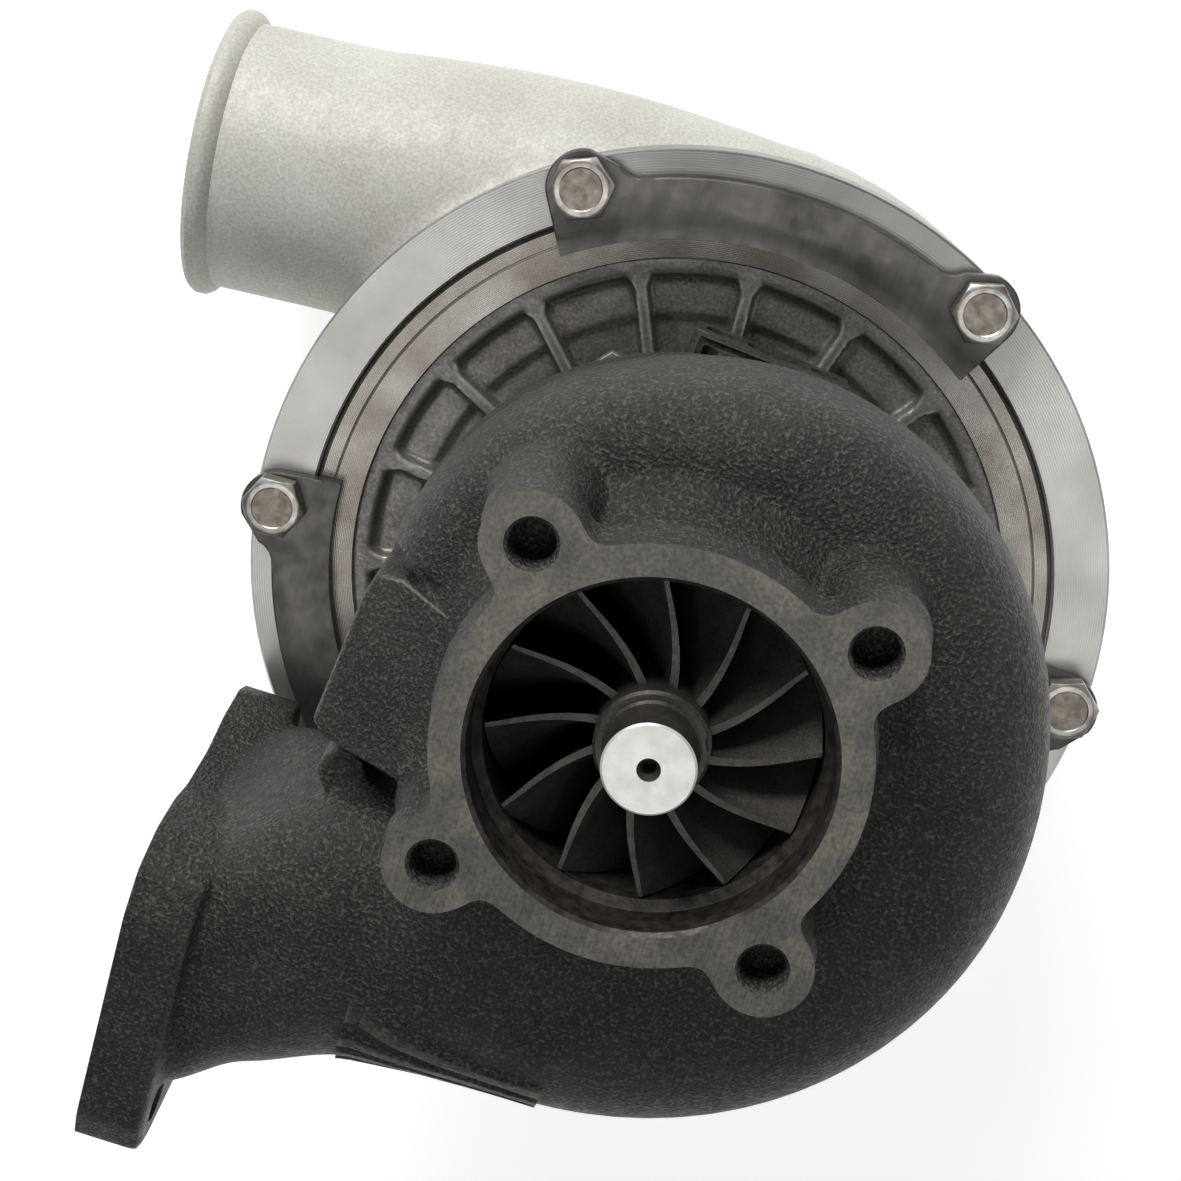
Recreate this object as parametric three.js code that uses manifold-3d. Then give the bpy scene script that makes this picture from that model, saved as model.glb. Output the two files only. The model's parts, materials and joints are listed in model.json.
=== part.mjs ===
// A journal-bearing turbocharger in millimetres, +Z up. The shaft is vertical: the compressor
// inlet is at the bottom and the turbine outlet at the top. Heights are measured from the top face
// of the compressor cover's rim, and the finished group is moved so that it stands on z = 0.
import * as THREE from "three";
import { mergeVertices } from "three/addons/utils/BufferGeometryUtils.js";
import Module from "manifold-3d";

const wasm = await Module();
wasm.setup();

// ---------------------------------------------------------------- clearances
const FIT = 0.3; // between pieces that seat on or inside each other
const TIP_CLEARANCE = 0.5; // between blade tips and the wall they run along
const OVERCUT = 1; // how far a cutter runs past the face it opens
const DUCT_LAP = 1.03; // a duct runs this share of its length, into the scroll it joins

// ---------------------------------------------------------------- fasteners (M8 hexagon)
const BOLT_DIAMETER = 8;
const BOLT_HEAD_ACROSS_FLATS = 13;
const BOLT_HEAD_HEIGHT = 5.3;
const BOLT_HOLE_RADIUS = BOLT_DIAMETER / 2 + FIT;
const BOLT_BITE = 10.5; // length of shank below the clamped plate, compressor side
const BLIND_END = 0.6; // space left under the end of a bolt

// ---------------------------------------------------------------- compressor cover
const RIM_RADIUS = 100;
const RIM_THICKNESS = 14;
const PILOT_RADIUS = RIM_RADIUS - 12.9;
const PILOT_DEPTH = 8.6;
const PILOT_LEDGE = 7; // width of the ledge that the backplate sits on
const COVER_WALL = 4.2;
const COVER_BOLT_CIRCLE = RIM_RADIUS - 6;
const INLET_DEPTH = 88; // rim face to inlet lip
const INLET_BORE_RADIUS = 33;
const INLET_WALL = 5.1;
const INLET_THROAT_LENGTH = 8;
const INLET_FUNNEL_LENGTH = 12;
const INLET_NECK_FLARES = [8, 5]; // extra outside radius above the inlet, at the wheel and below it
const RIM_UNDERCUT = [8, 3]; // how the rim's underside slopes in and down
const DIFFUSER_WIDTH = 6;
const COVER_TONGUE_ANGLE = 130;
const COVER_TONGUE_RADIUS = 78; // outer radius where the scroll begins
const COVER_TONGUE_HALF = 13; // half width of the scroll where it begins
const COVER_SCROLL_RADIUS = 71; // centreline radius where the scroll becomes the outlet duct
const COVER_SCROLL_HALF = 30.3;
const COVER_SCROLL_TOP = -5.7; // highest level of the scroll's outer wall
const OUTLET_YAW = 5; // degrees that the outlet duct turns away from -X
const OUTLET_REACH = 135.5; // length of the duct from the shaft to its end
const OUTLET_RADIUS = 31.75;
const OUTLET_BULGE = 3.6; // extra half width of the duct where it leaves the scroll
const OUTLET_TAPER_SHARE = 0.75; // share of the duct's length over which it becomes a round tube
const BEAD_RADIUS = 34.2;
const BEAD_WIDTH = 4.6;

// ---------------------------------------------------------------- clamp plates, compressor side
const PLATE_THICKNESS = 4.5;
const PLATE_INNER_RADIUS = PILOT_RADIUS - 6.6; // over the backplate's land
const PLATE_WAIST_RADIUS = COVER_BOLT_CIRCLE; // outer edge between the two ears
const PLATE_WAIST_ANGLE = 8.6; // degrees from a bolt to the end of the waist
const PLATE_EAR_RADIUS = 8.4;
const PLATE_EAR_END = 52; // degrees of the ear's arc past its outermost point
const PLATE_BOLT_SPREAD = 59; // degrees between the two bolts of one plate
const PLATE_ANGLES = [90.5, 214.9, 331.9];

// ---------------------------------------------------------------- backplate
const BACKPLATE_THICKNESS = 8;
const BACKPLATE_LAND_RADIUS = PILOT_RADIUS - 11.1; // inside edge of the flat outer land
const BACKPLATE_HUB_RADIUS = 47;
const BACKPLATE_POCKET_DEPTH = 5;
const BACKPLATE_STEP_RADIUS = THREE.MathUtils.lerp(BACKPLATE_HUB_RADIUS, BACKPLATE_LAND_RADIUS, 0.45);
const BACKPLATE_STEP_DEPTH = 3.4;
const RIB_COUNT = 18;
const RIB_WIDTH = 2.6;
const RIB_TOP_DEPTH = 1;
const RIB_START_ANGLE = 14;
const SEAL_THICKNESS = 2.4; // O-ring section

// ---------------------------------------------------------------- centre (bearing) housing
const CENTRE_LENGTH = 41.9; // compressor face to the underside of the turbine flange
const CENTRE_CLOCKING = -4; // degrees that the oil ports turn about the shaft
const CENTRE_FOOT_RADIUS = 45.5;
const CENTRE_FOOT_THICKNESS = 8;
const CENTRE_BODY_RADIUS = 25;
const CENTRE_NOSE_RADIUS = 20;
const CENTRE_NOSE_HEIGHT = 6; // the nose above the turbine flange
const FOOT_BOLT_CIRCLE = 37;
const FOOT_BOLT_COUNT = 4;
const FOOT_BOLT_BITE = 5;
const THRUST_POCKET_RADIUS = 20.8;
const THRUST_POCKET_DEPTH = 7.7;
const CENTRE_SEAL_RADIUS = 27.5;
const OIL_INLET_LEVEL = 9.5; // heights of the oil ports' middles above the rim face
const OIL_DRAIN_LEVEL = 21.5;
const OIL_INLET_REACH = 60;
const OIL_INLET_SIZE = [36, 14];
const OIL_INLET_CORNER = 3;
const OIL_INLET_BOLT_SPACING = 25;
const OIL_INLET_OPENING = [12, 7];
const OIL_INLET_OPENING_DEPTH = 5;
const OIL_FEED_RADIUS = 1.5;
const OIL_INLET_TRIM = [10, 3]; // how much narrower and lower the neck is than its port
const OIL_DRAIN_REACH = 52;
const OIL_DRAIN_CORNER = 5;
const OIL_DRAIN_SIZE = [56, 20];
const OIL_DRAIN_TRIM = [24, 2];
const OIL_DRAIN_BOLT_SPACING = 42;
const OIL_DRAIN_RADIUS = 8;
const OIL_BOLT_HOLE_RADIUS = 3.4;
const OIL_BOLT_HOLE_DEPTH = 9;
const OIL_FLANGE_THICKNESS = 9;

// ---------------------------------------------------------------- turbine flange joint
const TURBINE_FLANGE_RADIUS = 46.3;
const TURBINE_FLANGE_THICKNESS = 7.4;
const TURBINE_BOLT_CIRCLE = 54;
const TURBINE_BOLT_COUNT = 6;
const TURBINE_BOLT_BITE = 6.3;
const TURBINE_PLATE_THICKNESS = 4;
const TURBINE_PLATE_INNER_RADIUS = 43;
const TURBINE_PLATE_OUTER_RADIUS = 60.5;
const TURBINE_PLATE_SPLIT_HALF_ANGLE = 3;
const SHIELD_THICKNESS = 1.1;
const SHIELD_RADIUS = 36.4;
const SHIELD_HEIGHT = 7.2;
const SHIELD_CLEARANCE = 1.5; // to the back of the turbine wheel

// ---------------------------------------------------------------- turbine housing
const OUTLET_FACE_LEVEL = CENTRE_LENGTH + 81.9;
const OUTLET_FLANGE_THICKNESS = 12;
const OUTLET_FLANGE_RADIUS = 40.2;
const OUTLET_BORE_RADIUS = 33.4;
const OUTLET_BOLT_CIRCLE = 44.9;
const OUTLET_BOLT_COUNT = 4;
const OUTLET_BOLT_HOLE_RADIUS = 4.25; // tapping size for M10
const OUTLET_BOLT_HOLE_DEPTH = 11;
const OUTLET_EAR_RADIUS = 9.6;
const OUTLET_BORE_CHAMFER = 0.8;
const NECK_RADIUS = 37.4;
const NECK_FLARE = [1, 8]; // extra radius where the neck meets the volute, and below that
const VOLUTE_WALL = 5;
const VOLUTE_LEVEL = CENTRE_LENGTH + 29.1;
const VOLUTE_HALF_HEIGHT = 27;
const VOLUTE_END_HALF_HEIGHT = 22;
const VOLUTE_ROOT_RADIUS = 30; // the outer skin's sections reach this far in, inside the core
const VOLUTE_GAS_RADIUS = 44; // inner edge of the gas passage
const VOLUTE_SQUARENESS = 2.4;
const VOLUTE_START_ANGLE = -90;
const VOLUTE_END_ANGLE = 168;
const VOLUTE_GAS_END_ANGLE = 156;
const VOLUTE_GAS_SQUEEZE = [1, 7]; // extra roof and floor thickness at the passage's two ends
// The outer radius of the volute at angles round the shaft, in degrees.
const VOLUTE_OUTLINE = [
  [-90, 96], [-60, 93.8], [-30, 88], [0, 81], [50, 73.8], [100, 66.5], [168, 60.5],
];
const NOZZLE_RADIUS = 50;
const CORE_RADIUS = 56;
const BLANK_BOSS_SIZE = [29, 36, 34]; // the unmachined boss beside the volute's end
const BLANK_BOSS_CENTRE = [-49.5, -11, VOLUTE_LEVEL - 4];
const BLANK_BOSS_RISE = 18; // how much higher its top is beside the outlet than at its outer edge
const INLET_FLANGE_SIZE = [75, 92]; // width and length
const INLET_FLANGE_THICKNESS = 14;
const INLET_FLANGE_CORNER = 11;
const INLET_FLANGE_REACH = 88; // shaft to the flange's face
const INLET_FLANGE_CENTRE = [-91, VOLUTE_LEVEL - 23.4]; // y and height
const INLET_FLANGE_ROLL = 9;
const INLET_PORT_SIZE = [44, 60];
const INLET_BOLT_SPACING = [52, 69];
const INLET_BOLT_HOLE_RADIUS = 5.25;
const INLET_DUCT_EASE = 2.6; // how soon the duct has swung round to the volute's own line
const INLET_DUCT_MARGINS = [4, 8]; // step from the flange's outline to the duct's, at it and past it
const INLET_DUCT_HALF = 33; // half width of the duct along its middle
const INLET_GAS_HALF = 26; // half height of the port's passage a third of the way along

// ---------------------------------------------------------------- rotating parts
const STUB_RADIUS = 4; // thin end of the shaft, which carries the compressor wheel
const JOURNAL_RADIUS = 5.5;
const SHAFT_HUB_RADIUS = 8.9;
const SHAFT_END_DEPTH = 60; // below the rim face
const TURBINE_BLADES = 12;
const TURBINE_TIP_RADIUS = 35.5;
const TURBINE_TIP_WIDTH = 10.5;
const EXDUCER_RADIUS = 31.2;
const EXDUCER_LEVEL = OUTLET_FACE_LEVEL - 12.1;
const WHEEL_COLLAR_RADIUS = 10.9;
const WHEEL_COLLAR_LEVEL = OUTLET_FACE_LEVEL - 7.3;
const WHEEL_NOSE_RADIUS = 8.7;
const WHEEL_NOSE_LEVEL = OUTLET_FACE_LEVEL + 4.6;
const CENTRE_DRILL_RADIUS = 1.8;
const TURBINE_DISC_THICKNESS = 2.2;
const TURBINE_DISC_EDGE = 1.5; // how far the blades' tips stand out past the disc
const TURBINE_HUB_CURVE = 1.3; // how quickly the hub falls away from the disc
const TURBINE_INLET_SHARE = 0.2; // share of the blades' outer line that is their inlet edge
const TURBINE_BLADE_THICKNESS = 2.4; // at the root
const TURBINE_ANGLE = 13.2; // where the first blade's trailing tip stands at rest
const TURBINE_SWEEP = 52; // degrees that a blade turns along the flow
const TURBINE_SWEEP_CURVE = 1.7;
const TURBINE_LEAN = 17; // degrees that a blade's trailing edge leans between hub and tip
const TURBINE_LEAN_CURVE = 1.5;
const COMPRESSOR_BLADES = 12; // every second one is a short splitter
const COMPRESSOR_RADIUS = 38;
const COMPRESSOR_TIP_WIDTH = 4.2;
const INDUCER_RADIUS = 27;
const INDUCER_DEPTH = 46;
const COMPRESSOR_NOSE_DEPTH = 50;
const COMPRESSOR_HUB_RADIUS = 9.5;
const COMPRESSOR_DISC_THICKNESS = 1.4;
const COMPRESSOR_HUB_CURVE = 1.2;
const COMPRESSOR_BLADE_THICKNESS = 1.54; // at the root
const COMPRESSOR_BACKSWEEP = 34; // degrees that a blade turns towards its outer edge
const INDUCER_SWEEP = 42; // degrees that a blade turns towards the inlet
const SPLITTER_SHARE = 0.72; // a splitter's length as a share of a full blade's
const BLADE_TAPER = 0.45; // share of its thickness that a blade loses between root and tip
const TURBINE_ROOT_DEPTH = [1.2, 1]; // how deep a blade's root is sunk into its hub, inwards and back
const COMPRESSOR_ROOT_DEPTH = [0.8, 0.5];
const NUT_HEIGHT = 7;
const SHAFT_CHAMFER = 0.6;
const NOSE_CHAMFER = 0.5;

// ---------------------------------------------------------------- bearings and seals
const BEARING_WALL = 2.7;
const BEARING_LENGTH = 9;
const BEARING_CENTRES = [15, CENTRE_LENGTH - 4.4];
const RING_THICKNESS = 0.9;
const THRUST_COLLAR_RADIUS = 10;
const THRUST_COLLAR_FLANGE = 1.3;
const THRUST_COLLAR_WAIST = 6.5;
const THRUST_BEARING_THICKNESS = 2.6;
const BAFFLE_THICKNESS = 0.8;
const SLEEVE_RADIUS = 9.2;
const PISTON_RING_HEIGHT = 1.6;
const PISTON_RING_WIDTH = 1.6;
const PISTON_RING_GAP = 0.8;
const RETAINING_RING_GAP = 3;
const RETAINING_RING_REACH = 1.6; // how far a retaining ring stands into the bearing bore

// ---------------------------------------------------------------- facets round a full turn
const ROUND_LARGE = 32;
const ROUND_MEDIUM = 24;
const ROUND_SMALL = 16;
const ROUND_HOLE = 8;
const OUTER_SIDES = 16; // facets round a scroll or duct's outer skin
const INNER_SIDES = 12; // facets round the passage inside it

// ---------------------------------------------------------------- levels that follow from the sizes
const BACKPLATE_TOP = -FIT;
const BACKPLATE_BOTTOM = BACKPLATE_TOP - BACKPLATE_THICKNESS;
const DIFFUSER_FLOOR = BACKPLATE_BOTTOM - DIFFUSER_WIDTH;
const WHEEL_BACK_LEVEL = BACKPLATE_BOTTOM - 2 * FIT;
const PLATE_BOTTOM = FIT;
const PLATE_TOP = PLATE_BOTTOM + PLATE_THICKNESS;
const TURBINE_FLANGE_TOP = CENTRE_LENGTH + TURBINE_FLANGE_THICKNESS;
const TURBINE_FACE_LEVEL = CENTRE_LENGTH; // where the clamp plates meet the turbine housing
const SHIELD_BOTTOM = TURBINE_FLANGE_TOP + FIT;
const SHIELD_TOP = SHIELD_BOTTOM + SHIELD_THICKNESS + SHIELD_HEIGHT;
const PILOT_LEVEL = SHIELD_BOTTOM + SHIELD_THICKNESS + FIT;
const TURBINE_BACK_LEVEL = SHIELD_TOP + SHIELD_CLEARANCE;
const TURBINE_DISC_RADIUS = TURBINE_TIP_RADIUS - TURBINE_DISC_EDGE;
const NOZZLE_FLOOR = TURBINE_BACK_LEVEL + TURBINE_DISC_THICKNESS - 0.5;
const NOZZLE_ROOF = NOZZLE_FLOOR + TURBINE_TIP_WIDTH + TIP_CLEARANCE;
const BEARING_RADIUS = JOURNAL_RADIUS + FIT + BEARING_WALL;
const BEARING_BORE = BEARING_RADIUS + FIT;
const JOURNAL_START = THRUST_POCKET_DEPTH - FIT;
const SHAFT_HUB_START = BEARING_CENTRES[1] + BEARING_LENGTH / 2 + 4.7;
const HUB_BORE = SHAFT_HUB_RADIUS + FIT + 0.1;
const BACKPLATE_BORE = SLEEVE_RADIUS + FIT + 0.2;

const degrees = THREE.MathUtils.degToRad;

// ================================================================ solids
// A closed three.js geometry as a manifold solid with its faces pointing out.
function solid(geometry) {
  const bare = geometry.clone();
  bare.deleteAttribute("normal");
  bare.deleteAttribute("uv");
  const merged = mergeVertices(bare, 1e-4);
  const corners = [...merged.index.array];
  const faces = [];
  for (let i = 0; i < corners.length; i += 3) {
    const [a, b, c] = corners.slice(i, i + 3);
    if (a !== b && b !== c && c !== a) faces.push([a, b, c]);
  }
  const build = (list) => new wasm.Manifold(new wasm.Mesh({
    numProp: 3,
    vertProperties: merged.getAttribute("position").array,
    triVerts: new Uint32Array(list.flat()),
  }));
  const made = build(faces);
  return made.volume() > 0 ? made : build(faces.map(([a, b, c]) => [a, c, b]));
}

function geometryOf(body) {
  const mesh = body.asOriginal().getMesh();
  const geometry = new THREE.BufferGeometry();
  geometry.setAttribute("position", new THREE.BufferAttribute(mesh.vertProperties, 3));
  geometry.setIndex(new THREE.BufferAttribute(mesh.triVerts, 1));
  return geometry;
}

const join = (...bodies) => bodies.reduce((all, body) => all.add(body));
const cut = (body, ...cutters) => cutters.reduce((rest, cutter) => rest.subtract(cutter), body);

// A solid of revolution about Z from [radius, height] points. The outline either starts and ends
// on the axis or is closed by repeating its first point.
function turned(points, facets) {
  const outline = points.map(([radius, height]) => new THREE.Vector2(radius, height));
  return solid(new THREE.LatheGeometry(outline, facets).rotateX(Math.PI / 2));
}

// A plain disc, or a washer when it has a bore, between two heights.
function disc(radius, low, high, facets, bore = 0) {
  const inner = [[bore, low], [radius, low], [radius, high], [bore, high]];
  return turned(bore > 0 ? [...inner, inner[0]] : inner, facets);
}

// A round bar along Z between two heights.
function rod(radius, low, high, x, y) {
  const bar = new THREE.CylinderGeometry(radius, radius, high - low, ROUND_HOLE);
  bar.rotateX(Math.PI / 2).translate(x, y, (low + high) / 2);
  return solid(bar);
}

// The cutter for a hole. Its flats lie on the radius, so that a bar with the hole's fit passes.
function drilled(radius, low, high, x, y) {
  return rod(radius / Math.cos(Math.PI / ROUND_HOLE), low, high, x, y);
}

function box(size, centre) {
  return solid(new THREE.BoxGeometry(...size).translate(...centre));
}

function prism(shape, low, high, facets) {
  const geometry = new THREE.ExtrudeGeometry(shape, {
    depth: high - low, bevelEnabled: false, curveSegments: facets,
  });
  return solid(geometry.translate(0, 0, low));
}

// A rectangle with round corners, centred on the origin.
function roundedRectangle(width, height, corner) {
  const x = width / 2 - corner;
  const y = height / 2 - corner;
  const shape = new THREE.Shape();
  shape.absarc(x, y, corner, 0, Math.PI / 2);
  shape.absarc(-x, y, corner, Math.PI / 2, Math.PI);
  shape.absarc(-x, -y, corner, Math.PI, Math.PI * 1.5);
  shape.absarc(x, -y, corner, Math.PI * 1.5, Math.PI * 2);
  return shape;
}

// A closed tube skinned over sections. A section has a centre, two half-axis vectors and a
// squareness: 2 makes an ellipse and 4 a rounded rectangle.
function loft(sections, sides) {
  const geometry = new THREE.CylinderGeometry(1, 1, 1, sides, sections.length - 1);
  const position = geometry.getAttribute("position");
  const point = new THREE.Vector3();
  for (let i = 0; i < position.count; i += 1) {
    point.fromBufferAttribute(position, i);
    const { centre, across, along, square } = sections[
      Math.round((point.y + 0.5) * (sections.length - 1))
    ];
    const reach = Math.hypot(point.x, point.z);
    const angle = Math.atan2(point.z, point.x);
    const squared = (value) => {
      const size = Math.abs(value) < 1e-6 ? 0 : Math.abs(value) ** (2 / square);
      return reach * Math.sign(value) * size;
    };
    point.copy(centre);
    point.addScaledVector(across, squared(Math.cos(angle)));
    point.addScaledVector(along, squared(Math.sin(angle)));
    position.setXYZ(i, point.x, point.y, point.z);
  }
  return solid(geometry);
}

// One section of a scroll at an angle round the shaft, from its inner and outer radius.
function scrollSection(angle, inner, outer, level, halfHeight, square) {
  const outward = new THREE.Vector3(Math.cos(degrees(angle)), Math.sin(degrees(angle)), 0);
  return {
    centre: outward.clone().multiplyScalar((inner + outer) / 2).setZ(level),
    across: outward.clone().multiplyScalar((outer - inner) / 2),
    along: new THREE.Vector3(0, 0, halfHeight),
    square,
  };
}

function onCircle(radius, angle) {
  return [radius * Math.cos(degrees(angle)), radius * Math.sin(degrees(angle))];
}

const evenAngles = (count, start) => Array.from({ length: count }, (_, i) => start + (360 / count) * i);

// ================================================================ finishes
function finish(colour, roughness, metalness) {
  return () => new THREE.MeshStandardMaterial({ color: colour, roughness, metalness });
}
const castAluminium = finish(0xcdcbc1, 0.55, 0.7);
const darkCasting = finish(0x6f6c66, 0.65, 0.6);
const castIron = finish(0x3a3632, 0.8, 0.4);
const machinedSteel = finish(0x8d8a84, 0.35, 0.9);
const blackenedSteel = finish(0x4c453d, 0.5, 0.7);
const brightSteel = finish(0xd2d0cb, 0.25, 1);
const heatWheel = finish(0x453d36, 0.6, 0.6);
const brass = finish(0xb8923f, 0.35, 0.9);
const rubber = finish(0x1b1b1b, 0.8, 0);

function piece(name, body, material) {
  const mesh = new THREE.Mesh(geometryOf(body), material());
  mesh.name = name;
  return mesh;
}

// ================================================================ fasteners
// A hexagon bolt, head up, whose bearing face is at height 0.
function hexBolt(shankLength) {
  const corner = BOLT_HEAD_ACROSS_FLATS / 2 / Math.cos(Math.PI / 6);
  const head = new THREE.CylinderGeometry(corner, corner, BOLT_HEAD_HEIGHT, 6);
  head.rotateX(Math.PI / 2).translate(0, 0, BOLT_HEAD_HEIGHT / 2);
  const shank = rod(BOLT_DIAMETER / 2, -shankLength, BOLT_HEAD_HEIGHT / 2, 0, 0);
  return join(solid(head), shank);
}

function boltRing(name, body, circle, angles, level, material) {
  return angles.map((angle, i) => {
    const bolt = piece(name + "_" + (i + 1), body, material);
    bolt.position.set(...onCircle(circle, angle), level);
    bolt.rotation.z = degrees(angle);
    return bolt;
  });
}

// ================================================================ compressor cover
const COVER_BOLT_ANGLES = PLATE_ANGLES.flatMap((middle) => [
  middle - PLATE_BOLT_SPREAD / 2, middle + PLATE_BOLT_SPREAD / 2,
]);

// The cover's scroll as sections, shrunk by an inset for the air passage inside it.
function coverScroll(inset) {
  const steps = 12;
  const sections = [];
  for (let i = 0; i <= steps; i += 1) {
    const share = i / steps;
    const angle = COVER_TONGUE_ANGLE + (450 - COVER_TONGUE_ANGLE) * share;
    const half = THREE.MathUtils.lerp(COVER_TONGUE_HALF, COVER_SCROLL_HALF, share);
    const outer = THREE.MathUtils.lerp(
      COVER_TONGUE_RADIUS, COVER_SCROLL_RADIUS + COVER_SCROLL_HALF, share,
    );
    sections.push(scrollSection(
      angle, outer - 2 * half + inset, outer - inset, COVER_SCROLL_TOP - half, half - inset, 2,
    ));
  }
  return sections;
}

// The outlet duct's sections, from the shaft's plane to its end.
function coverDuct(inset, past) {
  const yaw = degrees(OUTLET_YAW);
  const along = new THREE.Vector3(-Math.cos(yaw), -Math.sin(yaw), 0);
  const across = new THREE.Vector3(-along.y, along.x, 0);
  const start = new THREE.Vector3(0, COVER_SCROLL_RADIUS, COVER_SCROLL_TOP - COVER_SCROLL_HALF);
  return [1 - DUCT_LAP, 0.12, 0.28, 0.45, 0.6, OUTLET_TAPER_SHARE, 1].map((share) => {
    const taper = THREE.MathUtils.clamp(share / OUTLET_TAPER_SHARE, 0, 1);
    const half = THREE.MathUtils.lerp(COVER_SCROLL_HALF, OUTLET_RADIUS, taper);
    const bulge = OUTLET_BULGE * Math.sin(Math.PI * taper);
    const reach = OUTLET_REACH * share + (share === 1 ? past : 0);
    return {
      centre: start.clone().addScaledVector(along, reach),
      across: across.clone().multiplyScalar(-(half + bulge - inset)),
      along: new THREE.Vector3(0, 0, half - inset),
      square: 2,
    };
  });
}

function outletBead() {
  const ring = disc(BEAD_RADIUS, -BEAD_WIDTH, 0, ROUND_MEDIUM, OUTLET_RADIUS - COVER_WALL);
  const sections = coverDuct(0, 0);
  const end = sections.at(-1).centre;
  return ring.rotate([0, -90, 0]).rotate([0, 0, OUTLET_YAW]).translate([end.x, end.y, end.z]);
}

// The line along which the compressor blades' tips run, from the outer edge down to the inducer.
function compressorShroud(clearance) {
  const points = [];
  const top = WHEEL_BACK_LEVEL - COMPRESSOR_DISC_THICKNESS - COMPRESSOR_TIP_WIDTH;
  const steps = 4;
  for (let i = 0; i <= steps; i += 1) {
    const turn = (Math.PI / 2) * (i / steps);
    points.push([
      INDUCER_RADIUS + clearance + (COMPRESSOR_RADIUS - INDUCER_RADIUS) * (1 - Math.sin(turn)),
      -INDUCER_DEPTH + (top - clearance + INDUCER_DEPTH) * Math.cos(turn),
    ]);
  }
  return points;
}

function compressorHousing() {
  const inletOuter = INLET_BORE_RADIUS + INLET_WALL;
  const core = turned([
    [0, 0],
    [RIM_RADIUS, 0],
    [RIM_RADIUS, -RIM_THICKNESS],
    [RIM_RADIUS - RIM_UNDERCUT[0], -RIM_THICKNESS - RIM_UNDERCUT[1]],
    [COVER_SCROLL_RADIUS, -RIM_THICKNESS - RIM_UNDERCUT[0]],
    [inletOuter + INLET_NECK_FLARES[0], -INDUCER_DEPTH + INLET_THROAT_LENGTH],
    [inletOuter + INLET_NECK_FLARES[1], -INDUCER_DEPTH - INLET_FUNNEL_LENGTH],
    [inletOuter, -INDUCER_DEPTH - INLET_THROAT_LENGTH - INLET_FUNNEL_LENGTH],
    [inletOuter, -INLET_DEPTH],
    [0, -INLET_DEPTH],
  ], ROUND_LARGE);
  const throat = INDUCER_RADIUS + TIP_CLEARANCE;
  const air = turned([
    [0, OVERCUT],
    [PILOT_RADIUS, OVERCUT],
    [PILOT_RADIUS, -PILOT_DEPTH],
    [PILOT_RADIUS - PILOT_LEDGE, -PILOT_DEPTH],
    [PILOT_RADIUS - PILOT_LEDGE, DIFFUSER_FLOOR],
    ...compressorShroud(TIP_CLEARANCE),
    [throat, -INDUCER_DEPTH - INLET_THROAT_LENGTH],
    [INLET_BORE_RADIUS, -INDUCER_DEPTH - INLET_THROAT_LENGTH - INLET_FUNNEL_LENGTH],
    [INLET_BORE_RADIUS, -INLET_DEPTH - OVERCUT],
    [0, -INLET_DEPTH - OVERCUT],
  ], ROUND_LARGE);
  const holes = COVER_BOLT_ANGLES.map((angle) => drilled(
    BOLT_HOLE_RADIUS, -BOLT_BITE - BLIND_END, OVERCUT, ...onCircle(COVER_BOLT_CIRCLE, angle),
  ));
  return cut(
    join(core, loft(coverScroll(0), OUTER_SIDES), loft(coverDuct(0, 0), OUTER_SIDES), outletBead()),
    air, loft(coverScroll(COVER_WALL), INNER_SIDES), loft(coverDuct(COVER_WALL, OVERCUT), INNER_SIDES),
    ...holes,
  );
}

// An arc-shaped plate, drawn about the X axis, with a round ear at each bolt. Its ends run straight
// in from the ears.
function compressorClampPlate() {
  const spread = PLATE_BOLT_SPREAD / 2;
  const half = degrees(spread);
  const waist = half - degrees(PLATE_WAIST_ANGLE);
  const corner = half + Math.asin(PLATE_EAR_RADIUS / PLATE_INNER_RADIUS);
  const shape = new THREE.Shape();
  const earEnd = half - degrees(PLATE_EAR_END);
  const square = half + Math.PI / 2;
  shape.absarc(...onCircle(COVER_BOLT_CIRCLE, -spread), PLATE_EAR_RADIUS, -square, -earEnd);
  shape.absarc(0, 0, PLATE_WAIST_RADIUS, -waist, waist);
  shape.absarc(...onCircle(COVER_BOLT_CIRCLE, spread), PLATE_EAR_RADIUS, earEnd, square);
  shape.absarc(0, 0, PLATE_INNER_RADIUS, corner, -corner, true);
  const plate = prism(shape, PLATE_BOTTOM, PLATE_TOP, 7);
  return cut(plate, ...[-1, 1].map((side) => drilled(
    BOLT_HOLE_RADIUS, PLATE_BOTTOM - OVERCUT, PLATE_TOP + OVERCUT,
    ...onCircle(COVER_BOLT_CIRCLE, side * spread),
  )));
}

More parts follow.
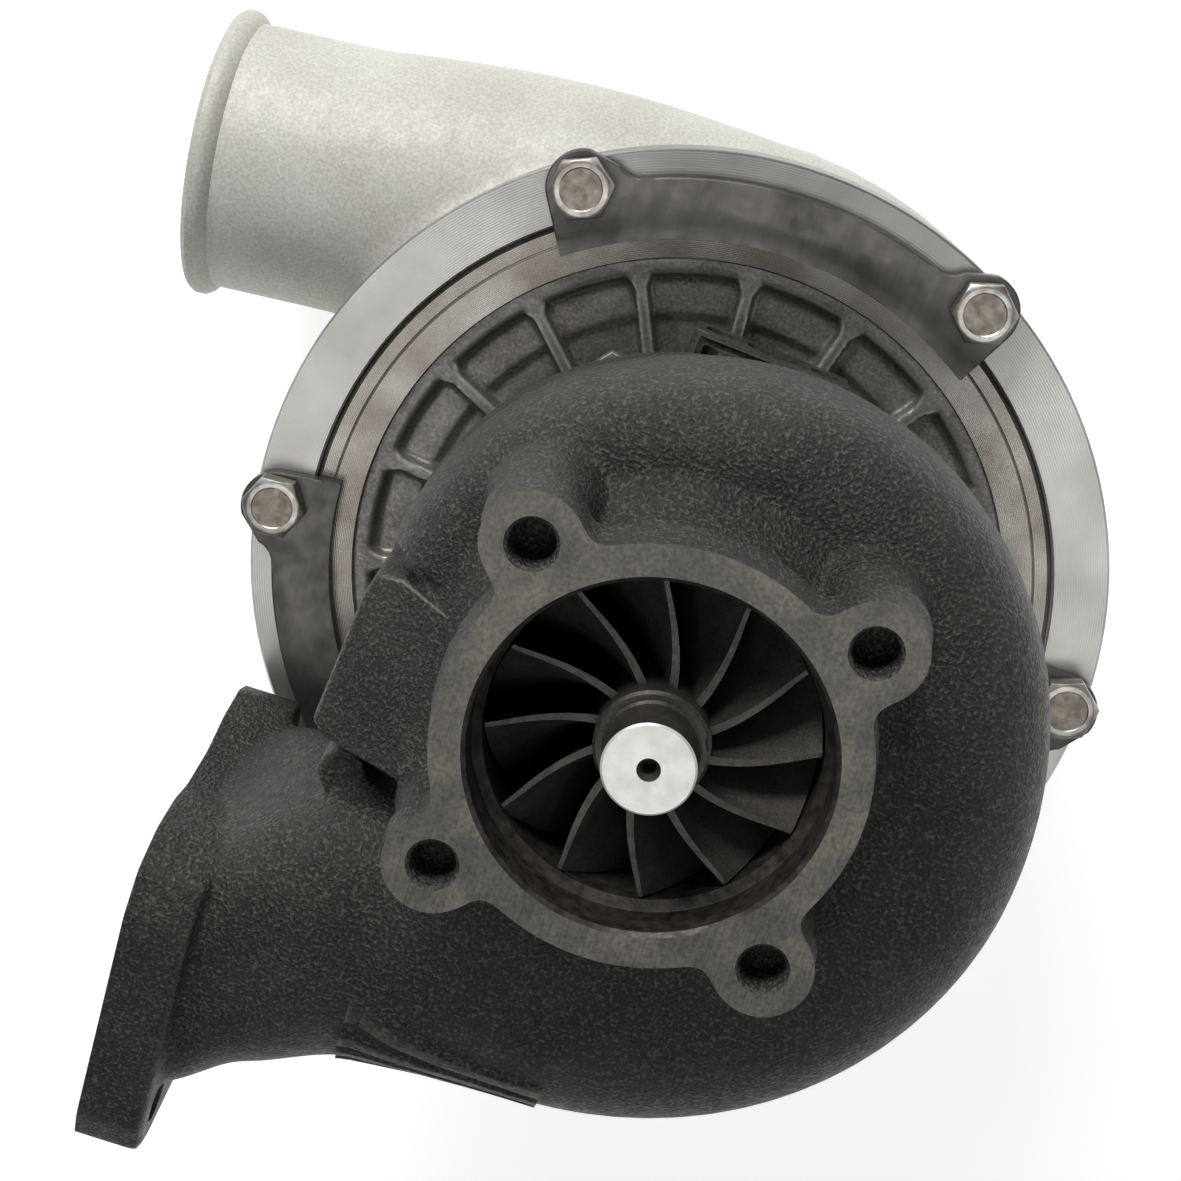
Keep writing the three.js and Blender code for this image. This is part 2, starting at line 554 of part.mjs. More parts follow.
// ================================================================ backplate
function backplate() {
  const rim = PILOT_RADIUS - FIT;
  const groove = rim - SEAL_THICKNESS - FIT;
  const middle = (BACKPLATE_TOP + BACKPLATE_BOTTOM) / 2;
  const grooveHalf = SEAL_THICKNESS / 2 + FIT;
  const floor = BACKPLATE_TOP - BACKPLATE_POCKET_DEPTH;
  const step = BACKPLATE_TOP - BACKPLATE_STEP_DEPTH;
  const body = turned([
    [BACKPLATE_BORE, BACKPLATE_BOTTOM],
    [rim, BACKPLATE_BOTTOM],
    [rim, middle - grooveHalf],
    [groove, middle - grooveHalf],
    [groove, middle + grooveHalf],
    [rim, middle + grooveHalf],
    [rim, BACKPLATE_TOP],
    [BACKPLATE_LAND_RADIUS, BACKPLATE_TOP],
    [BACKPLATE_LAND_RADIUS, floor],
    [BACKPLATE_STEP_RADIUS, floor],
    [BACKPLATE_STEP_RADIUS, step],
    [BACKPLATE_HUB_RADIUS, step],
    [BACKPLATE_HUB_RADIUS, BACKPLATE_TOP],
    [BACKPLATE_BORE, BACKPLATE_TOP],
    [BACKPLATE_BORE, BACKPLATE_BOTTOM],
  ], ROUND_LARGE);
  const inner = BACKPLATE_HUB_RADIUS - 1;
  const outer = BACKPLATE_LAND_RADIUS + 1;
  const ribs = evenAngles(RIB_COUNT, RIB_START_ANGLE).map((angle) => {
    const low = floor - 1;
    const high = BACKPLATE_TOP - RIB_TOP_DEPTH;
    const bar = new THREE.BoxGeometry(outer - inner, RIB_WIDTH, high - low);
    bar.translate((inner + outer) / 2, 0, (low + high) / 2).rotateZ(degrees(angle));
    return solid(bar);
  });
  const holes = footBoltAngles().map((angle) => drilled(
    BOLT_HOLE_RADIUS, BACKPLATE_TOP - FOOT_BOLT_BITE - BLIND_END, BACKPLATE_TOP + OVERCUT,
    ...onCircle(FOOT_BOLT_CIRCLE, angle),
  ));
  return cut(join(body, ...ribs), ...holes);
}

function footBoltAngles() {
  return evenAngles(FOOT_BOLT_COUNT, 45 + CENTRE_CLOCKING);
}

function sealRing(radius, level, facets) {
  const ring = new THREE.TorusGeometry(radius, SEAL_THICKNESS / 2, 5, facets);
  return solid(ring.translate(0, 0, level));
}

// ================================================================ centre housing
// A shape drawn facing +Y at a height, as a block between two distances from the shaft.
function facingOut(shape, from, to, level) {
  return prism(shape, from, to, 2).rotate([-90, 0, 0]).translate([0, 0, level]);
}

// A flat oil port at the end of a tower that reaches out along +Y. The tower's neck is smaller
// than the port by the two trims.
function oilTower(reach, [width, height], corner, [trimWidth, trimHeight], level) {
  const neck = roundedRectangle(width - trimWidth, height - trimHeight, corner);
  return join(
    facingOut(roundedRectangle(width, height, corner), reach - OIL_FLANGE_THICKNESS, reach, level),
    facingOut(neck, 0, reach - OIL_FLANGE_THICKNESS / 2, level),
  );
}

function oilDrilling(radius, from, to, x, level) {
  const hole = new THREE.CylinderGeometry(radius, radius, to - from, ROUND_HOLE);
  return solid(hole.translate(x, (from + to) / 2, level));
}

const retainingGrooves = BEARING_CENTRES.flatMap((middle) => [-1, 1].map(
  (side) => middle + side * (BEARING_LENGTH / 2 + FIT + RING_THICKNESS / 2),
));

function bearingHousing() {
  const noseTop = TURBINE_FLANGE_TOP + CENTRE_NOSE_HEIGHT;
  const body = turned([
    [0, 0],
    [CENTRE_FOOT_RADIUS, 0],
    [CENTRE_FOOT_RADIUS, CENTRE_FOOT_THICKNESS],
    [CENTRE_BODY_RADIUS + 4, CENTRE_FOOT_THICKNESS],
    [CENTRE_BODY_RADIUS, CENTRE_FOOT_THICKNESS + 4],
    [CENTRE_BODY_RADIUS, CENTRE_LENGTH - 6],
    [TURBINE_PLATE_INNER_RADIUS - 5, CENTRE_LENGTH],
    [TURBINE_FLANGE_RADIUS, CENTRE_LENGTH],
    [TURBINE_FLANGE_RADIUS, TURBINE_FLANGE_TOP],
    [CENTRE_NOSE_RADIUS + 8, TURBINE_FLANGE_TOP],
    [CENTRE_NOSE_RADIUS, noseTop],
    [0, noseTop],
  ], ROUND_LARGE);
  const towers = join(
    oilTower(OIL_INLET_REACH, OIL_INLET_SIZE, OIL_INLET_CORNER, OIL_INLET_TRIM, OIL_INLET_LEVEL),
    oilTower(OIL_DRAIN_REACH, OIL_DRAIN_SIZE, OIL_DRAIN_CORNER, OIL_DRAIN_TRIM, OIL_DRAIN_LEVEL)
      .rotate([0, 0, 180]),
  );
  const bore = turned([
    [0, -OVERCUT],
    [THRUST_POCKET_RADIUS, -OVERCUT],
    [THRUST_POCKET_RADIUS, THRUST_POCKET_DEPTH],
    [BEARING_BORE, THRUST_POCKET_DEPTH],
    [BEARING_BORE, SHAFT_HUB_START - FIT],
    [HUB_BORE, SHAFT_HUB_START - FIT],
    [HUB_BORE, noseTop + OVERCUT],
    [0, noseTop + OVERCUT],
  ], ROUND_SMALL);
  const grooves = retainingGrooves.map((level) => disc(
    BEARING_BORE + RING_THICKNESS + FIT,
    level - RING_THICKNESS / 2 - FIT / 2, level + RING_THICKNESS / 2 + FIT / 2, ROUND_SMALL,
  ));
  const seat = disc(
    CENTRE_SEAL_RADIUS + SEAL_THICKNESS / 2 + FIT, -OVERCUT, SEAL_THICKNESS + FIT, ROUND_MEDIUM,
    CENTRE_SEAL_RADIUS - SEAL_THICKNESS / 2 - FIT,
  );
  const opening = facingOut(
    roundedRectangle(...OIL_INLET_OPENING, OIL_INLET_CORNER),
    OIL_INLET_REACH - OIL_INLET_OPENING_DEPTH, OIL_INLET_REACH + OVERCUT, OIL_INLET_LEVEL,
  );
  const boltDrillings = [-1, 1].flatMap((side) => [
    oilDrilling(
      OIL_BOLT_HOLE_RADIUS, OIL_INLET_REACH - OIL_BOLT_HOLE_DEPTH, OIL_INLET_REACH + OVERCUT,
      (side * OIL_INLET_BOLT_SPACING) / 2, OIL_INLET_LEVEL,
    ),
    oilDrilling(
      OIL_BOLT_HOLE_RADIUS, -OIL_DRAIN_REACH - OVERCUT, -OIL_DRAIN_REACH + OIL_BOLT_HOLE_DEPTH,
      (side * OIL_DRAIN_BOLT_SPACING) / 2, OIL_DRAIN_LEVEL,
    ),
  ]);
  const footHoles = evenAngles(FOOT_BOLT_COUNT, 45).map((angle) => drilled(
    BOLT_HOLE_RADIUS, -OVERCUT, CENTRE_FOOT_THICKNESS + 2 * OVERCUT,
    ...onCircle(FOOT_BOLT_CIRCLE, angle),
  ));
  return cut(
    join(body, towers), bore, ...grooves, seat, opening,
    oilDrilling(OIL_FEED_RADIUS, 0, OIL_INLET_REACH - OIL_INLET_OPENING_DEPTH + OVERCUT, 0, OIL_INLET_LEVEL),
    oilDrilling(OIL_DRAIN_RADIUS, -OIL_DRAIN_REACH - OVERCUT, 0, 0, OIL_DRAIN_LEVEL),
    ...boltDrillings, ...footHoles,
  );
}

// ================================================================ bearings, thrust parts and seals
function journalBearing(level) {
  const half = BEARING_LENGTH / 2;
  return disc(BEARING_RADIUS, level - half, level + half, ROUND_SMALL, JOURNAL_RADIUS + FIT);
}

// A split ring: a washer with a piece sawn out of it.
function splitRing(inner, outer, level, height, slot) {
  const ring = disc(outer, level - height / 2, level + height / 2, ROUND_SMALL, inner);
  return cut(ring, box([2 * outer, slot, 2 * height], [outer, 0, level]));
}

const thrustCollarBottom = FIT + BAFFLE_THICKNESS + FIT;
const thrustCollarTop = JOURNAL_START - FIT;

function thrustCollar() {
  const bore = STUB_RADIUS + FIT;
  return turned([
    [bore, thrustCollarBottom],
    [THRUST_COLLAR_RADIUS, thrustCollarBottom],
    [THRUST_COLLAR_RADIUS, thrustCollarBottom + THRUST_COLLAR_FLANGE],
    [THRUST_COLLAR_WAIST, thrustCollarBottom + THRUST_COLLAR_FLANGE],
    [THRUST_COLLAR_WAIST, thrustCollarTop - THRUST_COLLAR_FLANGE],
    [THRUST_COLLAR_RADIUS, thrustCollarTop - THRUST_COLLAR_FLANGE],
    [THRUST_COLLAR_RADIUS, thrustCollarTop],
    [bore, thrustCollarTop],
    [bore, thrustCollarBottom],
  ], ROUND_SMALL);
}

// A horseshoe that slides over the collar's waist from one side.
function thrustBearing() {
  const middle = (thrustCollarBottom + thrustCollarTop) / 2;
  const half = THRUST_BEARING_THICKNESS / 2;
  const opening = THRUST_COLLAR_WAIST + FIT;
  const plate = disc(
    THRUST_POCKET_RADIUS - FIT, middle - half, middle + half, ROUND_SMALL, opening,
  );
  const mouth = [2 * opening, THRUST_POCKET_RADIUS, 2 * THRUST_BEARING_THICKNESS];
  return cut(plate, box(mouth, [0, -mouth[1] / 2, middle]));
}

function oilBaffle() {
  return disc(
    THRUST_POCKET_RADIUS - FIT, FIT, FIT + BAFFLE_THICKNESS, ROUND_SMALL, SLEEVE_RADIUS + FIT,
  );
}

const pistonGrooveHalf = PISTON_RING_HEIGHT / 2 + FIT;
const sleeveRingLevel = (BACKPLATE_TOP + BACKPLATE_BOTTOM) / 2;
const hubRingLevel = SHAFT_HUB_START + 4;

function oilSleeve() {
  const bore = STUB_RADIUS + FIT;
  const groove = BACKPLATE_BORE - FIT - PISTON_RING_WIDTH - FIT;
  return turned([
    [bore, WHEEL_BACK_LEVEL + FIT],
    [SLEEVE_RADIUS, WHEEL_BACK_LEVEL + FIT],
    [SLEEVE_RADIUS, sleeveRingLevel - pistonGrooveHalf],
    [groove, sleeveRingLevel - pistonGrooveHalf],
    [groove, sleeveRingLevel + pistonGrooveHalf],
    [SLEEVE_RADIUS, sleeveRingLevel + pistonGrooveHalf],
    [SLEEVE_RADIUS, thrustCollarBottom - FIT],
    [bore, thrustCollarBottom - FIT],
    [bore, WHEEL_BACK_LEVEL + FIT],
  ], ROUND_SMALL);
}

function pistonRing(bore, level) {
  const outer = bore - FIT;
  return splitRing(outer - PISTON_RING_WIDTH, outer, level, PISTON_RING_HEIGHT, PISTON_RING_GAP);
}

// ================================================================ shaft and wheels
function rotorShaft() {
  const groove = HUB_BORE - FIT - PISTON_RING_WIDTH - FIT;
  const top = TURBINE_BACK_LEVEL - FIT;
  return turned([
    [0, -SHAFT_END_DEPTH],
    [STUB_RADIUS - SHAFT_CHAMFER, -SHAFT_END_DEPTH],
    [STUB_RADIUS, -SHAFT_END_DEPTH + SHAFT_CHAMFER],
    [STUB_RADIUS, JOURNAL_START],
    [JOURNAL_RADIUS, JOURNAL_START],
    [JOURNAL_RADIUS, SHAFT_HUB_START],
    [SHAFT_HUB_RADIUS, SHAFT_HUB_START],
    [SHAFT_HUB_RADIUS, hubRingLevel - pistonGrooveHalf],
    [groove, hubRingLevel - pistonGrooveHalf],
    [groove, hubRingLevel + pistonGrooveHalf],
    [SHAFT_HUB_RADIUS, hubRingLevel + pistonGrooveHalf],
    [SHAFT_HUB_RADIUS, top],
    [0, top],
  ], ROUND_SMALL);
}

// A thin curved blade. Its surface runs from share 0 to 1 along the flow and from 0 at the hub to
// 1 at the tip; surface() gives radius, height and angle there.
function blade(surface, thickness, alongSteps, acrossSteps) {
  const geometry = new THREE.BoxGeometry(1, 1, 1, alongSteps, acrossSteps, 1);
  const position = geometry.getAttribute("position");
  for (let i = 0; i < position.count; i += 1) {
    const along = position.getX(i) + 0.5;
    const across = position.getY(i) + 0.5;
    const { radius, level, angle } = surface(along, across);
    const shift = (position.getZ(i) * thickness * (1 - BLADE_TAPER * across)) / radius;
    position.setXYZ(
      i, radius * Math.cos(degrees(angle) + shift), radius * Math.sin(degrees(angle) + shift), level,
    );
  }
  return solid(geometry);
}

// The turbine hub's surface from the disc's edge (share 0) to the collar (share 1).
function turbineHub(share) {
  const turn = (Math.PI / 2) * share;
  const base = TURBINE_BACK_LEVEL + TURBINE_DISC_THICKNESS;
  const spread = (1 - Math.sin(turn)) ** TURBINE_HUB_CURVE;
  return [
    THREE.MathUtils.lerp(WHEEL_COLLAR_RADIUS, TURBINE_DISC_RADIUS, spread),
    base + (EXDUCER_LEVEL - base) * (1 - Math.cos(turn)),
  ];
}

// The path of the turbine blades' tips, from the inlet edge down the flow to the exducer.
function turbineTip(share) {
  const base = TURBINE_BACK_LEVEL + TURBINE_DISC_THICKNESS;
  const inletTop = base + TURBINE_TIP_WIDTH;
  if (share < TURBINE_INLET_SHARE) {
    return [TURBINE_TIP_RADIUS, base + TURBINE_TIP_WIDTH * (share / TURBINE_INLET_SHARE)];
  }
  const flow = (share - TURBINE_INLET_SHARE) / (1 - TURBINE_INLET_SHARE);
  return [
    TURBINE_TIP_RADIUS + (EXDUCER_RADIUS - TURBINE_TIP_RADIUS) * Math.sin((flow * Math.PI) / 2),
    inletTop + (EXDUCER_LEVEL - inletTop) * flow,
  ];
}

function turbineWheel() {
  const hubSteps = 5;
  const curve = Array.from({ length: hubSteps + 1 }, (_, i) => turbineHub(i / hubSteps));
  const hub = turned([
    [0, TURBINE_BACK_LEVEL],
    [TURBINE_DISC_RADIUS, TURBINE_BACK_LEVEL],
    ...curve,
    [WHEEL_COLLAR_RADIUS, WHEEL_COLLAR_LEVEL],
    [WHEEL_NOSE_RADIUS, WHEEL_COLLAR_LEVEL],
    [WHEEL_NOSE_RADIUS, WHEEL_NOSE_LEVEL - NOSE_CHAMFER],
    [WHEEL_NOSE_RADIUS - NOSE_CHAMFER, WHEEL_NOSE_LEVEL],
    [CENTRE_DRILL_RADIUS, WHEEL_NOSE_LEVEL],
    [0, WHEEL_NOSE_LEVEL - 2 * CENTRE_DRILL_RADIUS],
  ], ROUND_MEDIUM);
  const [inwards, back] = TURBINE_ROOT_DEPTH;
  const surface = (along, across) => {
    const [hubRadius, hubLevel] = turbineHub(along);
    const [tipRadius, tipLevel] = turbineTip(along);
    return {
      radius: THREE.MathUtils.lerp(hubRadius - inwards, tipRadius, across),
      level: THREE.MathUtils.lerp(hubLevel - (1 - along) * back, tipLevel, across),
      angle: TURBINE_ANGLE + TURBINE_SWEEP * (1 - along ** TURBINE_SWEEP_CURVE)
        - TURBINE_LEAN * (1 - across) * along ** TURBINE_LEAN_CURVE,
    };
  };
  const blades = evenAngles(TURBINE_BLADES, 0).map((angle) => (
    blade(surface, TURBINE_BLADE_THICKNESS, 6, 1).rotate([0, 0, angle])
  ));
  return join(hub, ...blades);
}

function compressorHub(share) {
  const turn = (Math.PI / 2) * share;
  const top = WHEEL_BACK_LEVEL - COMPRESSOR_DISC_THICKNESS;
  const spread = (1 - Math.sin(turn)) ** COMPRESSOR_HUB_CURVE;
  return [
    THREE.MathUtils.lerp(COMPRESSOR_HUB_RADIUS, COMPRESSOR_RADIUS, spread),
    top + (-INDUCER_DEPTH - top) * (1 - Math.cos(turn)),
  ];
}

function compressorTip(share) {
  const line = compressorShroud(0);
  const place = share * (line.length - 1);
  const index = Math.min(Math.floor(place), line.length - 2);
  return [0, 1].map((axis) => THREE.MathUtils.lerp(
    line[index][axis], line[index + 1][axis], place - index,
  ));
}

function compressorWheel() {
  const hubSteps = 4;
  const curve = Array.from({ length: hubSteps + 1 }, (_, i) => compressorHub(i / hubSteps));
  const hub = turned([
    [0, WHEEL_BACK_LEVEL],
    [COMPRESSOR_RADIUS, WHEEL_BACK_LEVEL],
    ...curve,
    [COMPRESSOR_HUB_RADIUS, -COMPRESSOR_NOSE_DEPTH],
    [0, -COMPRESSOR_NOSE_DEPTH],
  ], ROUND_MEDIUM);
  const [inwards, back] = COMPRESSOR_ROOT_DEPTH;
  const bladeTo = (end) => blade((along, across) => {
    const [hubRadius, hubLevel] = compressorHub(along * end);
    const [tipRadius, tipLevel] = compressorTip(along * end);
    return {
      radius: THREE.MathUtils.lerp(hubRadius - inwards, tipRadius, across),
      level: THREE.MathUtils.lerp(hubLevel + (1 - along) * back, tipLevel, across),
      angle: COMPRESSOR_BACKSWEEP * (1 - along * end) ** 2 - INDUCER_SWEEP * (along * end) ** 2,
    };
  }, COMPRESSOR_BLADE_THICKNESS, 4, 1);
  const blades = evenAngles(COMPRESSOR_BLADES, 0).map((angle, i) => (
    bladeTo(i % 2 ? SPLITTER_SHARE : 1).rotate([0, 0, angle])
  ));
  const bore = drilled(
    STUB_RADIUS + FIT, -COMPRESSOR_NOSE_DEPTH - OVERCUT, WHEEL_BACK_LEVEL + OVERCUT, 0, 0,
  );
  return cut(join(hub, ...blades), bore);
}

function compressorNut() {
  const corner = BOLT_HEAD_ACROSS_FLATS / 2 / Math.cos(Math.PI / 6);
  const hexagon = new THREE.CylinderGeometry(corner, corner, NUT_HEIGHT, 6);
  hexagon.rotateX(Math.PI / 2).translate(0, 0, -COMPRESSOR_NOSE_DEPTH - FIT - NUT_HEIGHT / 2);
  const bore = drilled(STUB_RADIUS + FIT, -SHAFT_END_DEPTH - OVERCUT, 0, 0, 0);
  return cut(solid(hexagon), bore);
}

// ================================================================ turbine housing
const turbineBoltAngles = evenAngles(TURBINE_BOLT_COUNT, 0);

function voluteRadius(angle) {
  const next = VOLUTE_OUTLINE.findIndex(([at]) => at >= angle);
  if (next <= 0) return VOLUTE_OUTLINE[0][1];
  const [low, from] = VOLUTE_OUTLINE[next - 1];
  const [high, to] = VOLUTE_OUTLINE[next];
  return THREE.MathUtils.lerp(from, to, (angle - low) / (high - low));
}

// The volute's sections. With no inset they are the outer skin, which reaches into the core; with
// the wall as the inset they are the gas passage.
function volute(inset, endAngle) {
  const steps = 12;
  return Array.from({ length: steps + 1 }, (_, i) => {
    const share = i / steps;
    const angle = THREE.MathUtils.lerp(VOLUTE_START_ANGLE, endAngle, share);
    const inner = inset ? VOLUTE_GAS_RADIUS : VOLUTE_ROOT_RADIUS;
    const half = THREE.MathUtils.lerp(VOLUTE_HALF_HEIGHT, VOLUTE_END_HALF_HEIGHT, share);
    const squeeze = inset ? THREE.MathUtils.lerp(...VOLUTE_GAS_SQUEEZE, share) : 0;
    return scrollSection(
      angle, inner, voluteRadius(angle) - inset, VOLUTE_LEVEL, half - inset - squeeze, VOLUTE_SQUARENESS,
    );
  });
}

// The inlet duct from the flange to the start of the volute. Each row gives the share of the way
// from the flange, then the half width, half height and squareness there.
function inletDuct(inset, halves, past) {
  const gasInner = inset ? VOLUTE_GAS_RADIUS : VOLUTE_ROOT_RADIUS;
  const gasOuter = voluteRadius(VOLUTE_START_ANGLE) - inset;
  const start = [-(gasInner + gasOuter) / 2, VOLUTE_LEVEL];
  const backFace = -INLET_FLANGE_REACH + (inset ? 0 : INLET_FLANGE_THICKNESS / 2);
  return halves.map(([share, halfWidth, halfHeight, square], i) => {
    const ease = 1 - Math.max(0, 1 - share) ** INLET_DUCT_EASE;
    const roll = degrees(INLET_FLANGE_ROLL) * (1 - share);
    return {
      centre: new THREE.Vector3(
        THREE.MathUtils.lerp(backFace, 0, share) - (i === 0 ? past : 0),
        THREE.MathUtils.lerp(INLET_FLANGE_CENTRE[0], start[0], ease),
        THREE.MathUtils.lerp(INLET_FLANGE_CENTRE[1], start[1], ease),
      ),
      across: new THREE.Vector3(0, -halfWidth * Math.cos(roll), -halfWidth * Math.sin(roll)),
      along: new THREE.Vector3(0, -halfHeight * Math.sin(roll), halfHeight * Math.cos(roll)),
      square,
    };
  });
}

function ductOuter() {
  const endWidth = (voluteRadius(VOLUTE_START_ANGLE) - VOLUTE_ROOT_RADIUS) / 2;
  const [width, length] = INLET_FLANGE_SIZE.map((size) => size / 2);
  const [margin, nextMargin] = INLET_DUCT_MARGINS;
  return loft(inletDuct(0, [
    [0, width - margin, length - margin, 5],
    [0.1, width - margin - 1, length - nextMargin, 4],
    [0.28, INLET_DUCT_HALF, INLET_DUCT_HALF, 3],
    [0.55, INLET_DUCT_HALF, VOLUTE_HALF_HEIGHT - 1, 2.6],
    [DUCT_LAP, endWidth, VOLUTE_HALF_HEIGHT, VOLUTE_SQUARENESS],
  ], 0), OUTER_SIDES);
}

function ductGas() {
  const endWidth = (voluteRadius(VOLUTE_START_ANGLE) - VOLUTE_WALL - VOLUTE_GAS_RADIUS) / 2;
  const endHeight = VOLUTE_HALF_HEIGHT - VOLUTE_WALL - VOLUTE_GAS_SQUEEZE[0];
  const [width, length] = INLET_PORT_SIZE.map((size) => size / 2);
  return loft(inletDuct(VOLUTE_WALL, [
    [0, width, length, 5],
    [0.3, (width + endWidth) / 2, INLET_GAS_HALF, 4],
    [0.6, endWidth, endHeight, 3],
    [DUCT_LAP, endWidth, endHeight, VOLUTE_SQUARENESS],
  ], OVERCUT), INNER_SIDES);
}

// Shapes drawn flat, with x as the flange's width and y as its length, stood up to face -X.
function onInletFlange(body) {
  return body.rotate([0, -90, 0]).rotate([-90, 0, 0]).rotate([INLET_FLANGE_ROLL, 0, 0])
    .translate([-INLET_FLANGE_REACH, ...INLET_FLANGE_CENTRE]);
}

// The unmachined boss: a block whose top slopes up towards the outlet.
function blankBoss() {
  const block = new THREE.BoxGeometry(...BLANK_BOSS_SIZE);
  const position = block.getAttribute("position");
  for (let i = 0; i < position.count; i += 1) {
    if (position.getX(i) > 0 && position.getZ(i) > 0) {
      position.setZ(i, position.getZ(i) + BLANK_BOSS_RISE);
    }
  }
  return solid(block.translate(...BLANK_BOSS_CENTRE));
}

function turbineHousing() {
  const faceLevel = OUTLET_FACE_LEVEL - OUTLET_FLANGE_THICKNESS;
  const bossRadius = TURBINE_PLATE_OUTER_RADIUS + 0.5;
  const core = turned([
    [0, TURBINE_FACE_LEVEL],
    [bossRadius, TURBINE_FACE_LEVEL],
    [bossRadius, PILOT_LEVEL],
    [CORE_RADIUS, PILOT_LEVEL + 7],
    [CORE_RADIUS, NOZZLE_ROOF + 5],
    [NECK_RADIUS + NECK_FLARE[1], VOLUTE_LEVEL + VOLUTE_HALF_HEIGHT - 6],
    [NECK_RADIUS + NECK_FLARE[0], VOLUTE_LEVEL + VOLUTE_HALF_HEIGHT + 2],
    [NECK_RADIUS, faceLevel],
    [OUTLET_FLANGE_RADIUS, faceLevel + 1],
    [OUTLET_FLANGE_RADIUS, OUTLET_FACE_LEVEL],
    [0, OUTLET_FACE_LEVEL],
  ], ROUND_LARGE);
  const ears = evenAngles(OUTLET_BOLT_COUNT, 45).map((angle) => {
    const [x, y] = onCircle(OUTLET_BOLT_CIRCLE, angle);
    return disc(OUTLET_EAR_RADIUS, faceLevel, OUTLET_FACE_LEVEL, ROUND_SMALL).translate([x, y, 0]);
  });
  const flange = onInletFlange(
    prism(roundedRectangle(...INLET_FLANGE_SIZE, INLET_FLANGE_CORNER), -INLET_FLANGE_THICKNESS, 0, 3),
  );
  const tipWall = [0, 0.25, 0.5, 0.75, 1]
    .map((share) => turbineTip(THREE.MathUtils.lerp(TURBINE_INLET_SHARE, 1, share)))
    .map(([radius, level]) => [radius + TIP_CLEARANCE, level]);
  tipWall[0][1] = NOZZLE_ROOF;
  const gas = turned([
    [0, TURBINE_FACE_LEVEL - OVERCUT],
    [TURBINE_FLANGE_RADIUS + FIT, TURBINE_FACE_LEVEL - OVERCUT],
    [TURBINE_FLANGE_RADIUS + FIT, PILOT_LEVEL],
    [SHIELD_RADIUS + 1, PILOT_LEVEL],
    [SHIELD_RADIUS + 1, NOZZLE_FLOOR],
    [NOZZLE_RADIUS, NOZZLE_FLOOR],
    [NOZZLE_RADIUS, NOZZLE_ROOF],
    ...tipWall,
    [OUTLET_BORE_RADIUS, EXDUCER_LEVEL + 2],
    [OUTLET_BORE_RADIUS, OUTLET_FACE_LEVEL - OUTLET_BORE_CHAMFER],
    [OUTLET_BORE_RADIUS + OUTLET_BORE_CHAMFER, OUTLET_FACE_LEVEL],
    [OUTLET_BORE_RADIUS + OUTLET_BORE_CHAMFER, OUTLET_FACE_LEVEL + OVERCUT],
    [0, OUTLET_FACE_LEVEL + OVERCUT],
  ], ROUND_LARGE);
  const outletHoles = evenAngles(OUTLET_BOLT_COUNT, 45).map((angle) => drilled(
    OUTLET_BOLT_HOLE_RADIUS, OUTLET_FACE_LEVEL - OUTLET_BOLT_HOLE_DEPTH,
    OUTLET_FACE_LEVEL + OVERCUT, ...onCircle(OUTLET_BOLT_CIRCLE, angle),
  ));
  const clampHoles = turbineBoltAngles.map((angle) => drilled(
    BOLT_HOLE_RADIUS, TURBINE_FACE_LEVEL - OVERCUT,
    TURBINE_FACE_LEVEL + TURBINE_BOLT_BITE + BLIND_END, ...onCircle(TURBINE_BOLT_CIRCLE, angle),
  ));
  const flangeHoles = [-1, 1].flatMap((a) => [-1, 1].map((b) => onInletFlange(drilled(
    INLET_BOLT_HOLE_RADIUS, -INLET_FLANGE_THICKNESS - OVERCUT * 2, OVERCUT,
    (a * INLET_BOLT_SPACING[0]) / 2, (b * INLET_BOLT_SPACING[1]) / 2,
  ))));
  return cut(
    join(
      core, ...ears, loft(volute(0, VOLUTE_END_ANGLE), OUTER_SIDES), ductOuter(), flange,
      blankBoss(),
    ),
    gas, loft(volute(VOLUTE_WALL, VOLUTE_GAS_END_ANGLE), INNER_SIDES), ductGas(),
    ...outletHoles, ...clampHoles, ...flangeHoles,
  );
}

// A half ring that clamps the centre housing's flange against the turbine housing.
function turbineClampPlate() {
  const half = Math.PI / 2 - degrees(TURBINE_PLATE_SPLIT_HALF_ANGLE);
  const shape = new THREE.Shape();
  shape.absarc(0, 0, TURBINE_PLATE_OUTER_RADIUS, -half, half);
  shape.absarc(0, 0, TURBINE_PLATE_INNER_RADIUS, half, -half, true);
  const top = TURBINE_FACE_LEVEL - FIT;
  const plate = prism(shape, top - TURBINE_PLATE_THICKNESS, top, 10);
  return cut(plate, ...[-60, 0, 60].map((angle) => drilled(
    BOLT_HOLE_RADIUS, top - TURBINE_PLATE_THICKNESS - OVERCUT, top + OVERCUT,
    ...onCircle(TURBINE_BOLT_CIRCLE, angle),
  )));
}

// The shield that keeps the exhaust's heat off the centre housing.
function heatShield() {
  const bottom = SHIELD_BOTTOM;
  const inside = SHIELD_RADIUS - SHIELD_THICKNESS;
  return turned([
    [inside, bottom],
    [TURBINE_FLANGE_RADIUS - FIT, bottom],
    [TURBINE_FLANGE_RADIUS - FIT, bottom + SHIELD_THICKNESS],
    [SHIELD_RADIUS, bottom + SHIELD_THICKNESS],
    [SHIELD_RADIUS, SHIELD_TOP],
    [SHAFT_HUB_RADIUS + 4 * FIT, SHIELD_TOP],
    [SHAFT_HUB_RADIUS + 4 * FIT, SHIELD_TOP - SHIELD_THICKNESS],
    [inside, SHIELD_TOP - SHIELD_THICKNESS],
    [inside, bottom],
  ], ROUND_MEDIUM);
}

